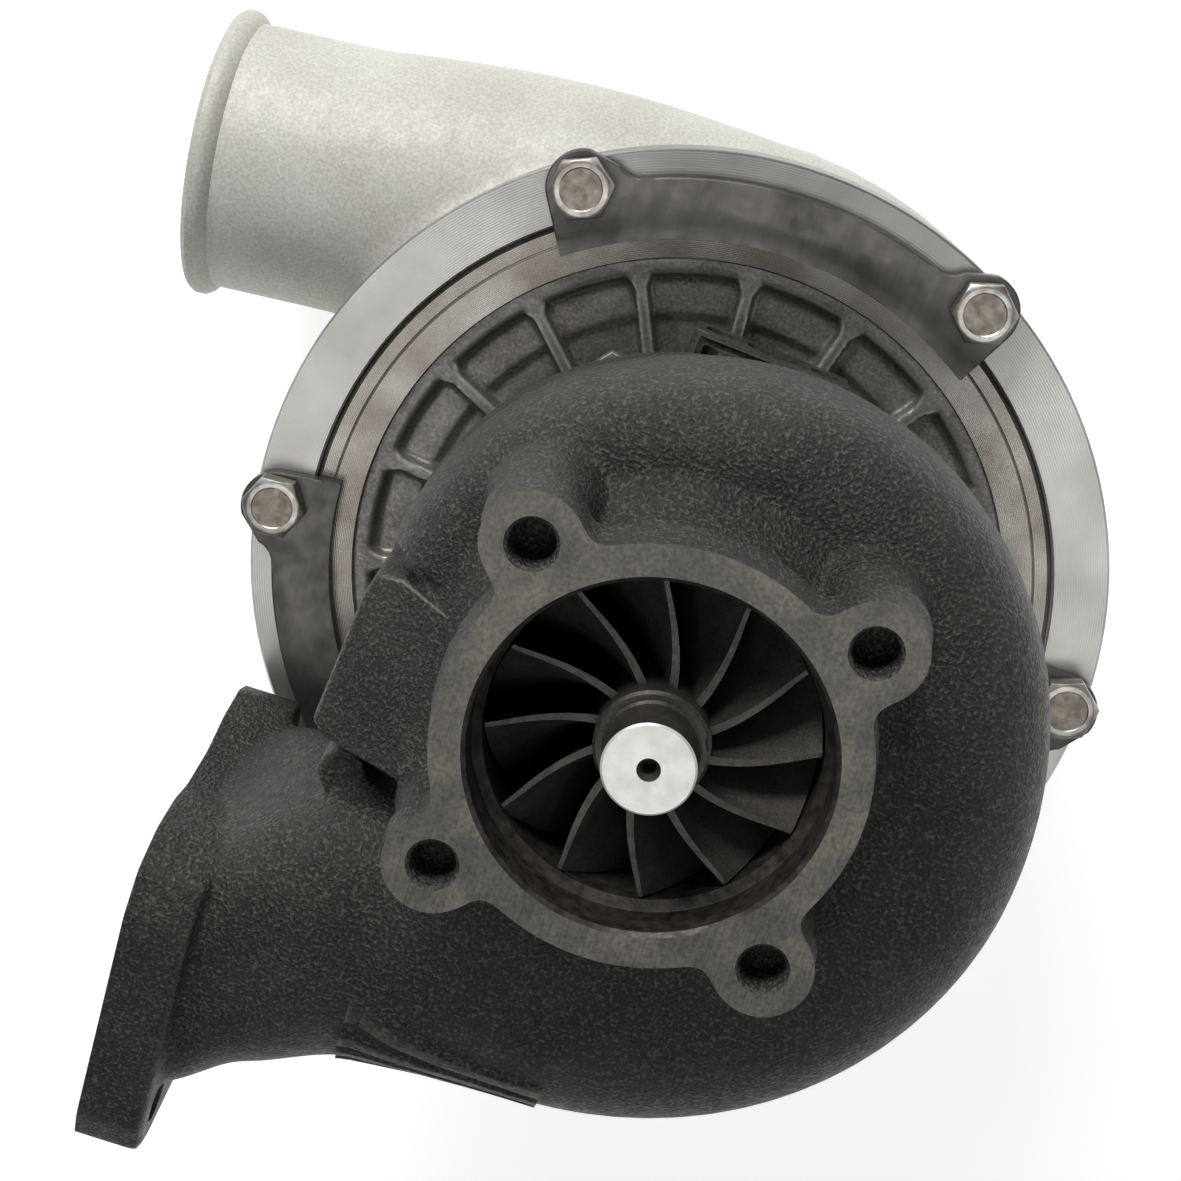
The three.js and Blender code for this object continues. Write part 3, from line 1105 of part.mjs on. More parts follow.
// ================================================================ assembly
function assemble() {
  const turbocharger = new THREE.Group();

  const rotor = new THREE.Group();
  rotor.add(
    piece("turbine_wheel", turbineWheel(), heatWheel),
    piece("rotor_shaft", rotorShaft(), machinedSteel),
    piece("thrust_collar", thrustCollar(), machinedSteel),
    piece("oil_sleeve", oilSleeve(), machinedSteel),
    piece("compressor_wheel", compressorWheel(), castAluminium),
    piece("compressor_nut", compressorNut(), brightSteel),
  );

  const centre = new THREE.Group();
  centre.rotation.z = degrees(CENTRE_CLOCKING);
  centre.add(
    piece("bearing_housing", bearingHousing(), castIron),
    piece("thrust_bearing", thrustBearing(), brass),
    piece("oil_baffle", oilBaffle(), machinedSteel),
    piece("journal_bearing_compressor", journalBearing(BEARING_CENTRES[0]), brass),
    piece("journal_bearing_turbine", journalBearing(BEARING_CENTRES[1]), brass),
    ...retainingGrooves.map((level, i) => piece(
      "bearing_retaining_ring_" + (i + 1),
      splitRing(
        BEARING_BORE - RETAINING_RING_REACH, BEARING_BORE + RING_THICKNESS, level, RING_THICKNESS,
        RETAINING_RING_GAP,
      ),
      machinedSteel,
    )),
    piece("centre_o_ring", sealRing(
      CENTRE_SEAL_RADIUS, SEAL_THICKNESS / 2 + FIT / 2, ROUND_MEDIUM,
    ), rubber),
    piece("turbine_piston_ring", pistonRing(HUB_BORE, hubRingLevel), machinedSteel),
    piece("compressor_piston_ring", pistonRing(BACKPLATE_BORE, sleeveRingLevel), machinedSteel),
  );

  const compressorEnd = new THREE.Group();
  compressorEnd.add(
    piece("compressor_housing", compressorHousing(), castAluminium),
    piece("backplate", backplate(), darkCasting),
    piece("backplate_o_ring", sealRing(
      PILOT_RADIUS - FIT - SEAL_THICKNESS / 2, (BACKPLATE_TOP + BACKPLATE_BOTTOM) / 2, ROUND_LARGE,
    ), rubber),
    ...PLATE_ANGLES.map((angle, i) => {
      const plate = piece("compressor_clamp_plate_" + (i + 1), compressorClampPlate(), blackenedSteel);
      plate.rotation.z = degrees(angle);
      return plate;
    }),
    ...boltRing(
      "compressor_bolt", hexBolt(PLATE_TOP + FIT + BOLT_BITE), COVER_BOLT_CIRCLE,
      COVER_BOLT_ANGLES, PLATE_TOP + FIT, brightSteel,
    ),
    ...boltRing(
      "backplate_bolt", hexBolt(CENTRE_FOOT_THICKNESS + 2 * FIT + FOOT_BOLT_BITE), FOOT_BOLT_CIRCLE,
      footBoltAngles(), CENTRE_FOOT_THICKNESS + FIT, brightSteel,
    ),
  );

  const turbineEnd = new THREE.Group();
  turbineEnd.add(
    piece("turbine_housing", turbineHousing(), castIron),
    piece("heat_shield", heatShield(), machinedSteel),
    ...[0, 180].map((angle, i) => {
      const plate = piece("turbine_clamp_plate_" + (i + 1), turbineClampPlate(), blackenedSteel);
      plate.rotation.z = degrees(angle);
      return plate;
    }),
    ...boltRing(
      "turbine_bolt",
      hexBolt(TURBINE_PLATE_THICKNESS + 2 * FIT + TURBINE_BOLT_BITE).rotate([180, 0, 0]),
      TURBINE_BOLT_CIRCLE, turbineBoltAngles,
      TURBINE_FACE_LEVEL - TURBINE_PLATE_THICKNESS - 2 * FIT, brightSteel,
    ),
  );

  turbocharger.add(compressorEnd, centre, rotor, turbineEnd);

  // Stand the group on z = 0 with the middle of its box over the origin.
  const bounds = new THREE.Box3().setFromObject(turbocharger, true);
  const middle = bounds.getCenter(new THREE.Vector3());
  turbocharger.position.set(-middle.x, -middle.y, -bounds.min.z);
  return turbocharger;
}

export default assemble();
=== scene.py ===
# A journal-bearing turbocharger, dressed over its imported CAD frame. Shapes are drawn in millimetres
# about the shaft, with z = 0 on the top face of the compressor cover's rim and +Z towards the
# turbine, and each finished mesh is then moved into the frame's metres.
import json
import math

import bmesh
import bpy
from mathutils import Matrix, Vector


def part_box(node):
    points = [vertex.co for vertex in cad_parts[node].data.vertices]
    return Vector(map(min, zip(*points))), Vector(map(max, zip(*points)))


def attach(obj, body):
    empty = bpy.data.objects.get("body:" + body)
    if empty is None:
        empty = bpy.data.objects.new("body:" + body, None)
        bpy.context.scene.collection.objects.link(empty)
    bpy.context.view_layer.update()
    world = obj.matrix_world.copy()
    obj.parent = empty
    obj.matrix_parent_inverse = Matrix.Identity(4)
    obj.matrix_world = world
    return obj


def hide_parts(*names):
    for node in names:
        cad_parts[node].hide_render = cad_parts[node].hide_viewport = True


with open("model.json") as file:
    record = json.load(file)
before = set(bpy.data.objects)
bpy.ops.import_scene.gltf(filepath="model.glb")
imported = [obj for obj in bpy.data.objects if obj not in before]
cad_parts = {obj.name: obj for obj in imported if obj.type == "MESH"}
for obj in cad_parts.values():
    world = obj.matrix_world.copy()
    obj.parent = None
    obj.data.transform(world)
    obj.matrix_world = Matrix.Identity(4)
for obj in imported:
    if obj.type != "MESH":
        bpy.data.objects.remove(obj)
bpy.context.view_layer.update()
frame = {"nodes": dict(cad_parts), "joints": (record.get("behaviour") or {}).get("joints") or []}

# ------------------------------------------------------------------ the shaft in the frame
MM = 0.001
shaft = frame["joints"][0]["pos_m"]
ORIGIN = Vector((shaft[0], shaft[1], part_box("compressor_housing")[1].z))
TO_FRAME = Matrix.Translation(ORIGIN) @ Matrix.Scale(MM, 4)
CENTRE_CLOCKING = math.radians(-4)

# ------------------------------------------------------------------ sizes, in millimetres
RIM_RADIUS, RIM_THICKNESS = 100, 14
PILOT_RADIUS, PILOT_DEPTH, PILOT_LEDGE = 87.1, 8.6, 7
COVER_WALL = 4.2
INLET_DEPTH, INLET_BORE, INLET_WALL = 88, 33, 5.1
DIFFUSER_FLOOR = -14.3
SCROLL_START_ANGLE, SCROLL_END_ANGLE = 130, 450
SCROLL_START_RADIUS, SCROLL_START_HALF = 78, 13
SCROLL_RADIUS, SCROLL_HALF, SCROLL_TOP = 71, 30.3, -5.7
OUTLET_YAW, OUTLET_REACH, OUTLET_RADIUS, OUTLET_BULGE = math.radians(5), 135.5, 31.75, 3.6
BEAD_RADIUS, BEAD_WIDTH = 34.2, 4.6

INDUCER_RADIUS, INDUCER_DEPTH = 27, 46
IMPELLER_RADIUS, IMPELLER_BACK, IMPELLER_TIP_WIDTH = 38, -8.9, 4.2
IMPELLER_HUB, IMPELLER_NOSE = 9.5, 50
IMPELLER_BLADES, IMPELLER_BLADE_THICKNESS, SPLITTER_SHARE = 12, 1.3, 0.72
SHAFT_HOLE, SHROUD_GAP = 4.3, 0.5

PLATE_BOTTOM, PLATE_THICKNESS = 0.3, 4.5
PLATE_INNER, PLATE_WAIST, PLATE_EAR = 80.5, 94, 8.4
BOLT_CIRCLE = 94
COVER_BOLT_SPREAD = math.radians(59)
HEAD_ACROSS, HEAD_HEIGHT, WASHER_RADIUS, SHANK_RADIUS = 13.0, 5.3, 6.2, 4
DISH_LEVEL, DISH_RADIUS = 5.12, 4.6

BACKPLATE_TOP, BACKPLATE_BOTTOM, BACKPLATE_RIM = -0.3, -8.3, 86.8
LAND_STEP, LAND_INNER, POCKET_OUTER, POCKET_STEP, POCKET_INNER = 82.4, 75.6, 72.2, 62, 47
RIB_COUNT, RIB_WIDTH, RIB_START = 18, 2.6, math.radians(14)

OUTLET_FACE, OUTLET_BORE = 123.8, 33.4
OUTLET_RING, OUTLET_EAR, OUTLET_BOLT_CIRCLE, OUTLET_HOLE = 40.2, 9.6, 44.9, 4.25
NECK_RADIUS = 37.4
VOLUTE_LEVEL, VOLUTE_HALF, VOLUTE_END_HALF = 71, 27, 22
VOLUTE_ROOT, VOLUTE_GAS, VOLUTE_WALL = 30, 44, 5
VOLUTE_START, VOLUTE_END = -90, 168
VOLUTE_OUTLINE = [(-90, 96), (-60, 93.8), (-30, 88), (0, 80), (50, 71.5), (100, 64.8), (168, 60.5)]
TURBINE_FACE, PILOT_LEVEL, NOZZLE_FLOOR, NOZZLE_ROOF = 41.9, 51, 61.1, 72.1
FLANGE_WIDTH, FLANGE_LENGTH, FLANGE_THICKNESS, FLANGE_REACH = 75, 92, 14, 88
FLANGE_CENTRE, FLANGE_ROLL = (-91, 47.6), math.radians(9)
PORT_WIDTH, PORT_LENGTH = 44, 60
FLANGE_BOLTS, FLANGE_HOLE = (52, 69), 5.25
BOSS_TOP, BOSS_SLOPE = 84, 0.62
TURBINE_PLATE_OUTER, TURBINE_PLATE_INNER, TURBINE_PLATE_THICKNESS = 60.5, 43, 4
CENTRE_SOCKET, SHIELD_SOCKET, NOZZLE_RADIUS = 46.6, 37.4, 50

TURBINE_RADIUS, TURBINE_TIP_WIDTH, TURBINE_BACK, TURBINE_DISC = 35.5, 10.5, 59.4, 2.2
EXDUCER_RADIUS, EXDUCER_LEVEL = 31.2, 111.7
COLLAR_RADIUS, COLLAR_LEVEL, NOSE_RADIUS, NOSE_LEVEL = 10.9, 116.5, 8.7, 128.4
TURBINE_BLADES, TURBINE_ANGLE, TURBINE_BLADE_THICKNESS = 12, math.radians(13.2), 1.7
TURBINE_SWEEP, TURBINE_SWEEP_CURVE = 52, 1.7

CENTRE_LENGTH, FOOT_RADIUS, FOOT_THICKNESS = 41.9, 45.5, 8
CENTRE_WAIST, TURBINE_FOOT_RADIUS, TURBINE_FOOT_THICKNESS = 25, 46.3, 7.4
THRUST_BORE, BEARING_BORE = 20.8, 8.8
INLET_PAD, INLET_REACH, INLET_LEVEL = (36, 14), 60, 9.5
DRAIN_PAD, DRAIN_REACH, DRAIN_LEVEL = (56, 20), 52, 21.5

# ------------------------------------------------------------------ the photograph's view
CAMERA_PITCH, CAMERA_YAW, CAMERA_ROLL = 0.26151, -0.07150, -0.29974
CAMERA_OFFSET = (-19.459, -1.294, 515.503)
CAMERA_LENS = 67.449
COVER_BOLT_TURNS = [14, 22, 4, 26, 10, 18]

ROUND = 144  # facets round a machined turn
HOLE_ROUND = 40


# ================================================================== mesh building
def lerp(a, b, share):
    return a + (b - a) * share


def polar(radius, angle, z=0.0):
    return Vector((radius * math.cos(angle), radius * math.sin(angle), z))


def as_object(bm, name="shape"):
    bmesh.ops.recalc_face_normals(bm, faces=bm.faces)
    mesh = bpy.data.meshes.new(name)
    bm.to_mesh(mesh)
    bm.free()
    made = bpy.data.objects.new(name, mesh)
    bpy.context.scene.collection.objects.link(made)
    return made


def bridge(bm, low, high):
    """Faces between two rings, leaving out corners that meet in a point."""
    count = len(low)
    for i in range(count):
        j = (i + 1) % count
        corners = list(dict.fromkeys((low[i], low[j], high[j], high[i])))
        if len(corners) > 2:
            bm.faces.new(corners)


def lathe(outline, facets=ROUND):
    """A solid of revolution about the shaft. The outline is closed, or starts and ends on the axis."""
    bm = bmesh.new()
    rings = []
    for radius, z in outline:
        if radius < 1e-6:
            rings.append([bm.verts.new((0, 0, z))] * facets)
        else:
            rings.append([bm.verts.new(polar(radius, math.tau * i / facets, z)) for i in range(facets)])
    pairs = list(zip(rings, rings[1:]))
    if outline[0][0] > 1e-6:
        pairs.append((rings[-1], rings[0]))
    for low, high in pairs:
        bridge(bm, low, high)
    return as_object(bm)


def skin(rings):
    """A closed tube over rings of points."""
    bm = bmesh.new()
    made = [[bm.verts.new(point) for point in ring] for ring in rings]
    for low, high in zip(made, made[1:]):
        bridge(bm, low, high)
    bm.faces.new(made[0])
    bm.faces.new(made[-1])
    return as_object(bm)


def oval(centre, across, along, square, sides=48):
    """A ring of points: square 2 is an ellipse and 4 a rounded rectangle."""
    points = []
    for i in range(sides):
        angle = math.tau * i / sides
        c, s = math.cos(angle), math.sin(angle)
        c = math.copysign(abs(c) ** (2 / square), c)
        s = math.copysign(abs(s) ** (2 / square), s)
        points.append(centre + across * c + along * s)
    return points


def prism(outline, low, high):
    return skin([[Vector((x, y, z)) for x, y in outline] for z in (low, high)])


def cuboid(low, high):
    return prism([(low[0], low[1]), (high[0], low[1]), (high[0], high[1]), (low[0], high[1])],
                 low[2], high[2])


def moved(piece, matrix):
    piece.data.transform(matrix)
    return piece


def shifted(piece, place):
    return moved(piece, Matrix.Translation(place))


def spun(piece, angle):
    return moved(piece, Matrix.Rotation(angle, 4, "Z"))


def laid(piece, x, level):
    """Lays a shape drawn about Z along Y, at a port's height."""
    return moved(piece, Matrix.Translation((x, 0, level)) @ Matrix.Rotation(math.radians(-90), 4, "X"))


def bar(radius, low, high, x=0.0, y=0.0, facets=HOLE_ROUND):
    return shifted(lathe([(0, low), (radius, low), (radius, high), (0, high)], facets), (x, y, 0))


def bake(piece):
    """Applies the piece's modifiers."""
    graph = bpy.context.evaluated_depsgraph_get()
    mesh = bpy.data.meshes.new_from_object(piece.evaluated_get(graph))
    piece.modifiers.clear()
    old = piece.data
    piece.data = mesh
    bpy.data.meshes.remove(old)
    return piece


def gather(*pieces):
    """Several meshes as one object, without joining their surfaces."""
    bm = bmesh.new()
    for piece in pieces:
        bm.from_mesh(piece.data)
        bpy.data.meshes.remove(piece.data)
    return as_object(bm)


def combine(piece, other, operation):
    tool = piece.modifiers.new("combine", "BOOLEAN")
    tool.operation = operation
    tool.solver = "MANIFOLD"
    tool.object = other
    bake(piece)
    bpy.data.meshes.remove(other.data)
    return piece


def cut(piece, *cutters):
    for cutter in cutters:
        combine(piece, cutter, "DIFFERENCE")
    return piece


def fuse(piece, *others):
    for other in others:
        combine(piece, other, "UNION")
    return piece


def cast(piece, voxel, passes):
    """Runs overlapping shapes together as a casting, with soft fillets."""
    remesh = piece.modifiers.new("remesh", "REMESH")
    remesh.mode = "VOXEL"
    remesh.voxel_size = voxel
    soften = piece.modifiers.new("soften", "SMOOTH")
    soften.factor = 0.5
    soften.iterations = passes
    return bake(piece)


# ================================================================== finishing a piece
def finish_piece(piece, name, body, materials, choose=None, replaces=(), sharp=32):
    """Moves a finished mesh into the frame. choose(centre, normal) gives a face's material by number,
    in millimetres about the shaft."""
    piece.name = name
    piece.data.materials.clear()
    for material in materials:
        piece.data.materials.append(material)
    for face in piece.data.polygons:
        face.material_index = choose(face.center, face.normal) if choose else 0
        face.use_smooth = True
    piece.data.set_sharp_from_angle(angle=math.radians(sharp))
    piece.data.transform(TO_FRAME)
    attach(piece, body)
    if replaces:
        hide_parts(*replaces)
    return piece


def node_centre(node):
    low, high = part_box(node)
    return TO_FRAME.inverted() @ ((low + high) / 2)


# ================================================================== procedural materials
class Shader:
    """A material with one Principled shader, and short calls for the nodes that feed it."""

    def __init__(self, name, colour, roughness, metallic):
        self.material = bpy.data.materials.new(name)
        self.material.use_nodes = True
        self.tree = self.material.node_tree
        self.shader = self.tree.nodes["Principled BSDF"]
        self.shader.inputs["Base Color"].default_value = (*colour, 1)
        self.shader.inputs["Roughness"].default_value = roughness
        self.shader.inputs["Metallic"].default_value = metallic
        place = self.node("TexCoord")
        shift = self.node("Mapping")
        shift.inputs["Location"].default_value = -ORIGIN
        self.link(place.outputs["Object"], shift.inputs["Vector"])
        self.place = shift.outputs["Vector"]
        self.height = None

    def node(self, kind):
        return self.tree.nodes.new("ShaderNode" + kind)

    def link(self, output, socket):
        self.tree.links.new(output, socket)

    def noise(self, size_mm, detail=3.0, stretch=None):
        """Noise whose blotches are about size_mm across, from 0 to 1."""
        node = self.node("TexNoise")
        node.inputs["Scale"].default_value = 1 / (size_mm * MM)
        node.inputs["Detail"].default_value = detail
        source = self.place
        if stretch:
            mapping = self.node("Mapping")
            mapping.inputs["Scale"].default_value = stretch[0]
            mapping.inputs["Rotation"].default_value = stretch[1]
            self.link(source, mapping.inputs["Vector"])
            source = mapping.outputs["Vector"]
        self.link(source, node.inputs["Vector"])
        return node.outputs["Fac"]

    def grains(self, size_mm):
        """Sand grains: the distance to the nearest of many scattered points."""
        node = self.node("TexVoronoi")
        node.inputs["Scale"].default_value = 1 / (size_mm * MM)
        self.link(self.place, node.inputs["Vector"])
        return node.outputs["Distance"]

    def turning(self, pitch_mm):
        """The rings that a lathe tool leaves about the shaft."""
        node = self.node("TexWave")
        node.wave_type = "RINGS"
        node.rings_direction = "Z"
        node.inputs["Scale"].default_value = 0.314 / (pitch_mm * MM)
        node.inputs["Distortion"].default_value = 0.6
        node.inputs["Detail"].default_value = 2
        self.link(self.place, node.inputs["Vector"])
        return node.outputs["Fac"]

    def painted_sheen(self, colour):
        """Paints a sheen into a turned face's colour by the angle round the shaft: a darker sector, painted
        shade standing in for where the turned rings don't catch the light.
        """
        node = self.node("TexGradient")
        node.gradient_type = "RADIAL"
        self.link(self.place, node.inputs["Vector"])
        shade = self.ramp(node.outputs["Fac"], [(0, 0.95), (0.5, 1.0), (0.62, 1.0), (0.68, 0.5), (0.80, 0.45),
                                                (0.88, 0.9), (1, 0.95)])
        return self.mix(1.0, colour, shade, "MULTIPLY")

    def ramp(self, value, stops):
        """Colours or greys spread along a value. A stop is (place, colour or grey)."""
        node = self.node("ValToRGB")
        ramp = node.color_ramp
        while len(ramp.elements) < len(stops):
            ramp.elements.new(0.5)
        for element, (place, colour) in zip(ramp.elements, stops):
            element.position = place
            element.color = (*colour, 1) if isinstance(colour, tuple) else (colour, colour, colour, 1)
        self.link(value, node.inputs["Fac"])
        return node.outputs["Color"]

    def mottle(self, size_mm, detail, dark, light, low=0.35, high=0.65):
        """Two colours in blotches about size_mm across."""
        return self.ramp(self.noise(size_mm, detail), [(low, dark), (high, light)])

    def mix(self, factor, a, b, blend="MIX"):
        node = self.node("Mix")
        node.data_type = "RGBA"
        node.blend_type = blend
        for socket, value in ((node.inputs[0], factor), (node.inputs[6], a), (node.inputs[7], b)):
            if isinstance(value, (int, float)):
                socket.default_value = value
            elif isinstance(value, tuple):
                socket.default_value = (*value, 1)
            else:
                self.link(value, socket)
        return node.outputs[2]

    def edges(self, low=0.5, high=0.58):
        """1 on convex edges, where a casting is rubbed bright, and 0 elsewhere."""
        geometry = self.node("NewGeometry")
        return self.ramp(geometry.outputs["Pointiness"], [(low, 0.0), (high, 1.0)])

    def colour(self, value):
        self.link(value, self.shader.inputs["Base Color"])
        return self

    def rough(self, value, low, high):
        self.link(self.ramp(value, [(0.25, low), (0.75, high)]), self.shader.inputs["Roughness"])
        return self

    def bump(self, value, depth_mm, strength=1.0):
        node = self.node("Bump")
        node.inputs["Strength"].default_value = strength
        node.inputs["Distance"].default_value = depth_mm * MM
        self.link(value, node.inputs["Height"])
        if self.height:
            self.link(self.height, node.inputs["Normal"])
        self.height = node.outputs["Normal"]
        self.link(self.height, self.shader.inputs["Normal"])
        return self


def sand_cast_iron():
    look = Shader("sand_cast_iron", (0.036, 0.033, 0.029), 0.6, 0.4)
    blotches = look.mottle(16, 4, (0.020, 0.0185, 0.016), (0.044, 0.041, 0.035))
    sand = look.noise(0.75, 4)
    grit = look.ramp(sand, [(0.40, (0.012, 0.011, 0.009)), (0.54, (0.036, 0.034, 0.029)),
                            (0.66, (0.16, 0.154, 0.136))])
    worn = look.mix(look.edges(0.52, 0.62), look.mix(0.5, blotches, grit), (0.16, 0.15, 0.125))
    look.colour(worn).rough(look.noise(2.2), 0.36, 0.60)
    look.bump(look.noise(3.4, 3), 0.22, 0.4).bump(sand, 0.75, 1.0)
    return look.material


def milled_iron():
    look = Shader("milled_iron", (0.12, 0.115, 0.105), 0.45, 0.7)
    lines = look.noise(0.5, 2, ((1.0, 0.10, 1.0), (0, 0, math.radians(73))))
    grain = look.mottle(0.8, 3, (0.075, 0.071, 0.064), (0.17, 0.164, 0.148))
    stain = look.mottle(9, 3, (0.75, 0.75, 0.75), (1.25, 1.2, 1.1), 0.4, 0.7)
    cuts = look.ramp(lines, [(0.4, (0.075, 0.071, 0.064)), (0.6, (0.18, 0.172, 0.155))])
    tone = look.mix(0.45, grain, cuts)
    look.colour(look.mix(1.0, tone, stain, "MULTIPLY")).rough(lines, 0.34, 0.58)
    look.bump(lines, 0.05, 0.6)
    return look.material


def bore_iron():
    look = Shader("bore_iron", (0.05, 0.044, 0.038), 0.5, 0.5)
    look.colour(look.mottle(2.5, 3, (0.026, 0.022, 0.019), (0.075, 0.066, 0.056), 0.35, 0.7))
    look.rough(look.noise(1.2), 0.4, 0.62).bump(look.noise(0.7, 2), 0.08, 0.5)
    return look.material


def centre_iron():
    look = Shader("centre_iron", (0.075, 0.066, 0.056), 0.6, 0.4)
    blotches = look.mottle(9, 4, (0.045, 0.039, 0.033), (0.085, 0.076, 0.064))
    grit = look.mottle(0.8, 3, (0.03, 0.026, 0.022), (0.16, 0.15, 0.13), 0.4, 0.7)
    worn = look.mix(look.edges(0.515, 0.6), look.mix(0.4, blotches, grit), (0.26, 0.25, 0.22))
    look.colour(worn).rough(look.noise(2.0), 0.45, 0.7)
    look.bump(look.noise(2.6, 3), 0.25, 0.5).bump(look.grains(0.8), 0.15, 0.5)
    return look.material


def cast_aluminium():
    look = Shader("cast_aluminium", (0.56, 0.55, 0.50), 0.6, 0.3)
    cloud = look.mottle(26, 4, (0.50, 0.485, 0.43), (0.62, 0.61, 0.56))
    fine = look.mottle(0.7, 3, (0.42, 0.41, 0.37), (0.70, 0.69, 0.64), 0.38, 0.62)
    look.colour(look.mix(0.4, cloud, fine)).rough(look.noise(3.0), 0.55, 0.7)
    look.bump(look.noise(5.0, 3), 0.25, 0.35).bump(look.noise(0.8, 3), 0.14, 0.6)
    return look.material


def turned_aluminium():
    look = Shader("turned_aluminium", (0.52, 0.51, 0.48), 0.34, 0.85)
    rings = look.turning(0.55)
    cloud = look.mottle(22, 4, (0.40, 0.385, 0.35), (0.57, 0.56, 0.53))
    lines = look.ramp(rings, [(0.2, (0.36, 0.35, 0.32)), (0.8, (0.64, 0.63, 0.60))])
    # The colour carries a painted sheen: a darker sector round the shaft, painted shade where the turned
    # rings don't catch the light.
    look.colour(look.painted_sheen(look.mix(0.25, cloud, lines)))
    look.rough(rings, 0.28, 0.44).bump(rings, 0.03, 0.5)
    return look.material


def backplate_casting():
    look = Shader("backplate_casting", (0.12, 0.112, 0.10), 0.48, 0.6)
    cloud = look.mottle(11, 4, (0.13, 0.12, 0.105), (0.26, 0.25, 0.225))
    fine = look.mottle(0.8, 3, (0.11, 0.10, 0.09), (0.34, 0.325, 0.29), 0.4, 0.65)
    worn = look.mix(look.edges(0.508, 0.57), look.mix(0.4, cloud, fine), (0.68, 0.67, 0.62))
    look.colour(worn).rough(look.noise(2.0), 0.34, 0.5)
    look.bump(look.noise(2.2, 3), 0.18, 0.5).bump(look.noise(0.6, 2), 0.08, 0.5)
    return look.material


def land_alloy():
    look = Shader("land_alloy", (0.34, 0.31, 0.27), 0.33, 0.85)
    rings = look.turning(0.4)
    stain = look.mottle(14, 3, (0.22, 0.19, 0.155), (0.43, 0.41, 0.37), 0.35, 0.7)
    lines = look.ramp(rings, [(0.2, (0.2, 0.19, 0.17)), (0.8, (0.5, 0.49, 0.46))])
    # The colour carries a painted sheen: a darker sector round the shaft, painted shade where the turned
    # rings don't catch the light.
    look.colour(look.painted_sheen(look.mix(0.2, stain, lines)))
    look.rough(rings, 0.26, 0.42).bump(rings, 0.025, 0.5)
    return look.material


def oxide_steel():
    look = Shader("oxide_steel", (0.11, 0.104, 0.096), 0.40, 0.75)
    cloud = look.mottle(13, 4, (0.075, 0.070, 0.064), (0.165, 0.156, 0.143), 0.35, 0.68)
    scratch = look.noise(0.9, 2, ((1.0, 0.08, 1.0), (0, 0, math.radians(20))))
    marks = look.ramp(scratch, [(0.45, (0.03, 0.026, 0.022)), (0.7, (0.13, 0.12, 0.10))])
    look.colour(look.mix(0.12, cloud, marks))
    look.rough(look.noise(4.0), 0.34, 0.52).bump(scratch, 0.04, 0.35).bump(look.noise(0.7, 2), 0.03, 0.4)
    return look.material


def bright_steel():
    look = Shader("bright_steel", (0.46, 0.44, 0.41), 0.38, 1.0)
    tint = look.mottle(4.0, 3, (0.32, 0.29, 0.25), (0.54, 0.525, 0.50), 0.38, 0.65)
    look.colour(tint).rough(look.noise(1.6), 0.30, 0.46).bump(look.noise(0.9, 3), 0.03, 0.4)
    return look.material


def dished_steel():
    look = Shader("dished_steel", (0.28, 0.235, 0.20), 0.45, 0.85)
    tint = look.mottle(2.5, 3, (0.20, 0.165, 0.135), (0.34, 0.295, 0.255), 0.36, 0.66)
    look.colour(tint).rough(look.noise(1.2), 0.38, 0.54).bump(look.noise(0.7, 3), 0.03, 0.4)
    return look.material


def ground_steel(name="ground_steel", colour=(0.50, 0.49, 0.47)):
    look = Shader(name, colour, 0.3, 0.95)
    dark = tuple(0.72 * c for c in colour)
    rings = look.turning(0.35)
    look.colour(look.ramp(look.noise(2.2, 3), [(0.35, dark), (0.65, colour)]))
    look.rough(rings, 0.22, 0.38).bump(rings, 0.012, 0.4)
    return look.material


def nose_face():
    look = Shader("nose_face", (0.74, 0.72, 0.68), 0.38, 0.35)
    look.colour(look.mottle(3.5, 3, (0.66, 0.64, 0.60), (0.80, 0.785, 0.75)))
    look.rough(look.turning(0.3), 0.32, 0.45).bump(look.turning(0.3), 0.01, 0.4)
    return look.material


def wheel_alloy():
    look = Shader("wheel_alloy", (0.075, 0.064, 0.055), 0.5, 0.45)
    cloud = look.mottle(7, 3, (0.036, 0.033, 0.029), (0.080, 0.073, 0.064), 0.35, 0.7)
    fine = look.mottle(0.5, 2, (0.04, 0.035, 0.03), (0.13, 0.115, 0.10), 0.4, 0.66)
    look.colour(look.mix(0.3, cloud, fine)).rough(look.noise(1.5), 0.42, 0.6)
    look.bump(look.noise(0.6, 2), 0.05, 0.5)
    return look.material


def milled_aluminium():
    look = Shader("milled_aluminium", (0.68, 0.67, 0.64), 0.28, 0.9)
    rings = look.turning(0.9)
    look.colour(look.mottle(5.0, 3, (0.58, 0.57, 0.54), (0.74, 0.73, 0.71)))
    look.rough(rings, 0.22, 0.36).bump(rings, 0.02, 0.5)
    return look.material


def bronze():
    look = Shader("bronze", (0.62, 0.40, 0.16), 0.3, 0.95)
    look.colour(look.mottle(3.0, 3, (0.48, 0.29, 0.11), (0.68, 0.46, 0.20)))
    look.rough(look.noise(1.5), 0.24, 0.4).bump(look.turning(0.4), 0.01, 0.4)
    return look.material


def black_rubber():
    look = Shader("black_rubber", (0.018, 0.018, 0.018), 0.6, 0.0)
    look.colour(look.mottle(2.0, 3, (0.012, 0.012, 0.012), (0.028, 0.028, 0.028)))
    look.rough(look.noise(1.0), 0.5, 0.7).bump(look.noise(0.6, 2), 0.02, 0.4)
    return look.material


def pale_floor():
    look = Shader("pale_floor", (0.86, 0.86, 0.85), 0.7, 0.0)
    look.colour(look.mottle(60, 2, (0.85, 0.85, 0.84), (0.87, 0.87, 0.865), 0.3, 0.7))
    look.shader.inputs["Emission Color"].default_value = (1, 1, 1, 1)
    look.shader.inputs["Emission Strength"].default_value = 0.55
    return look.material


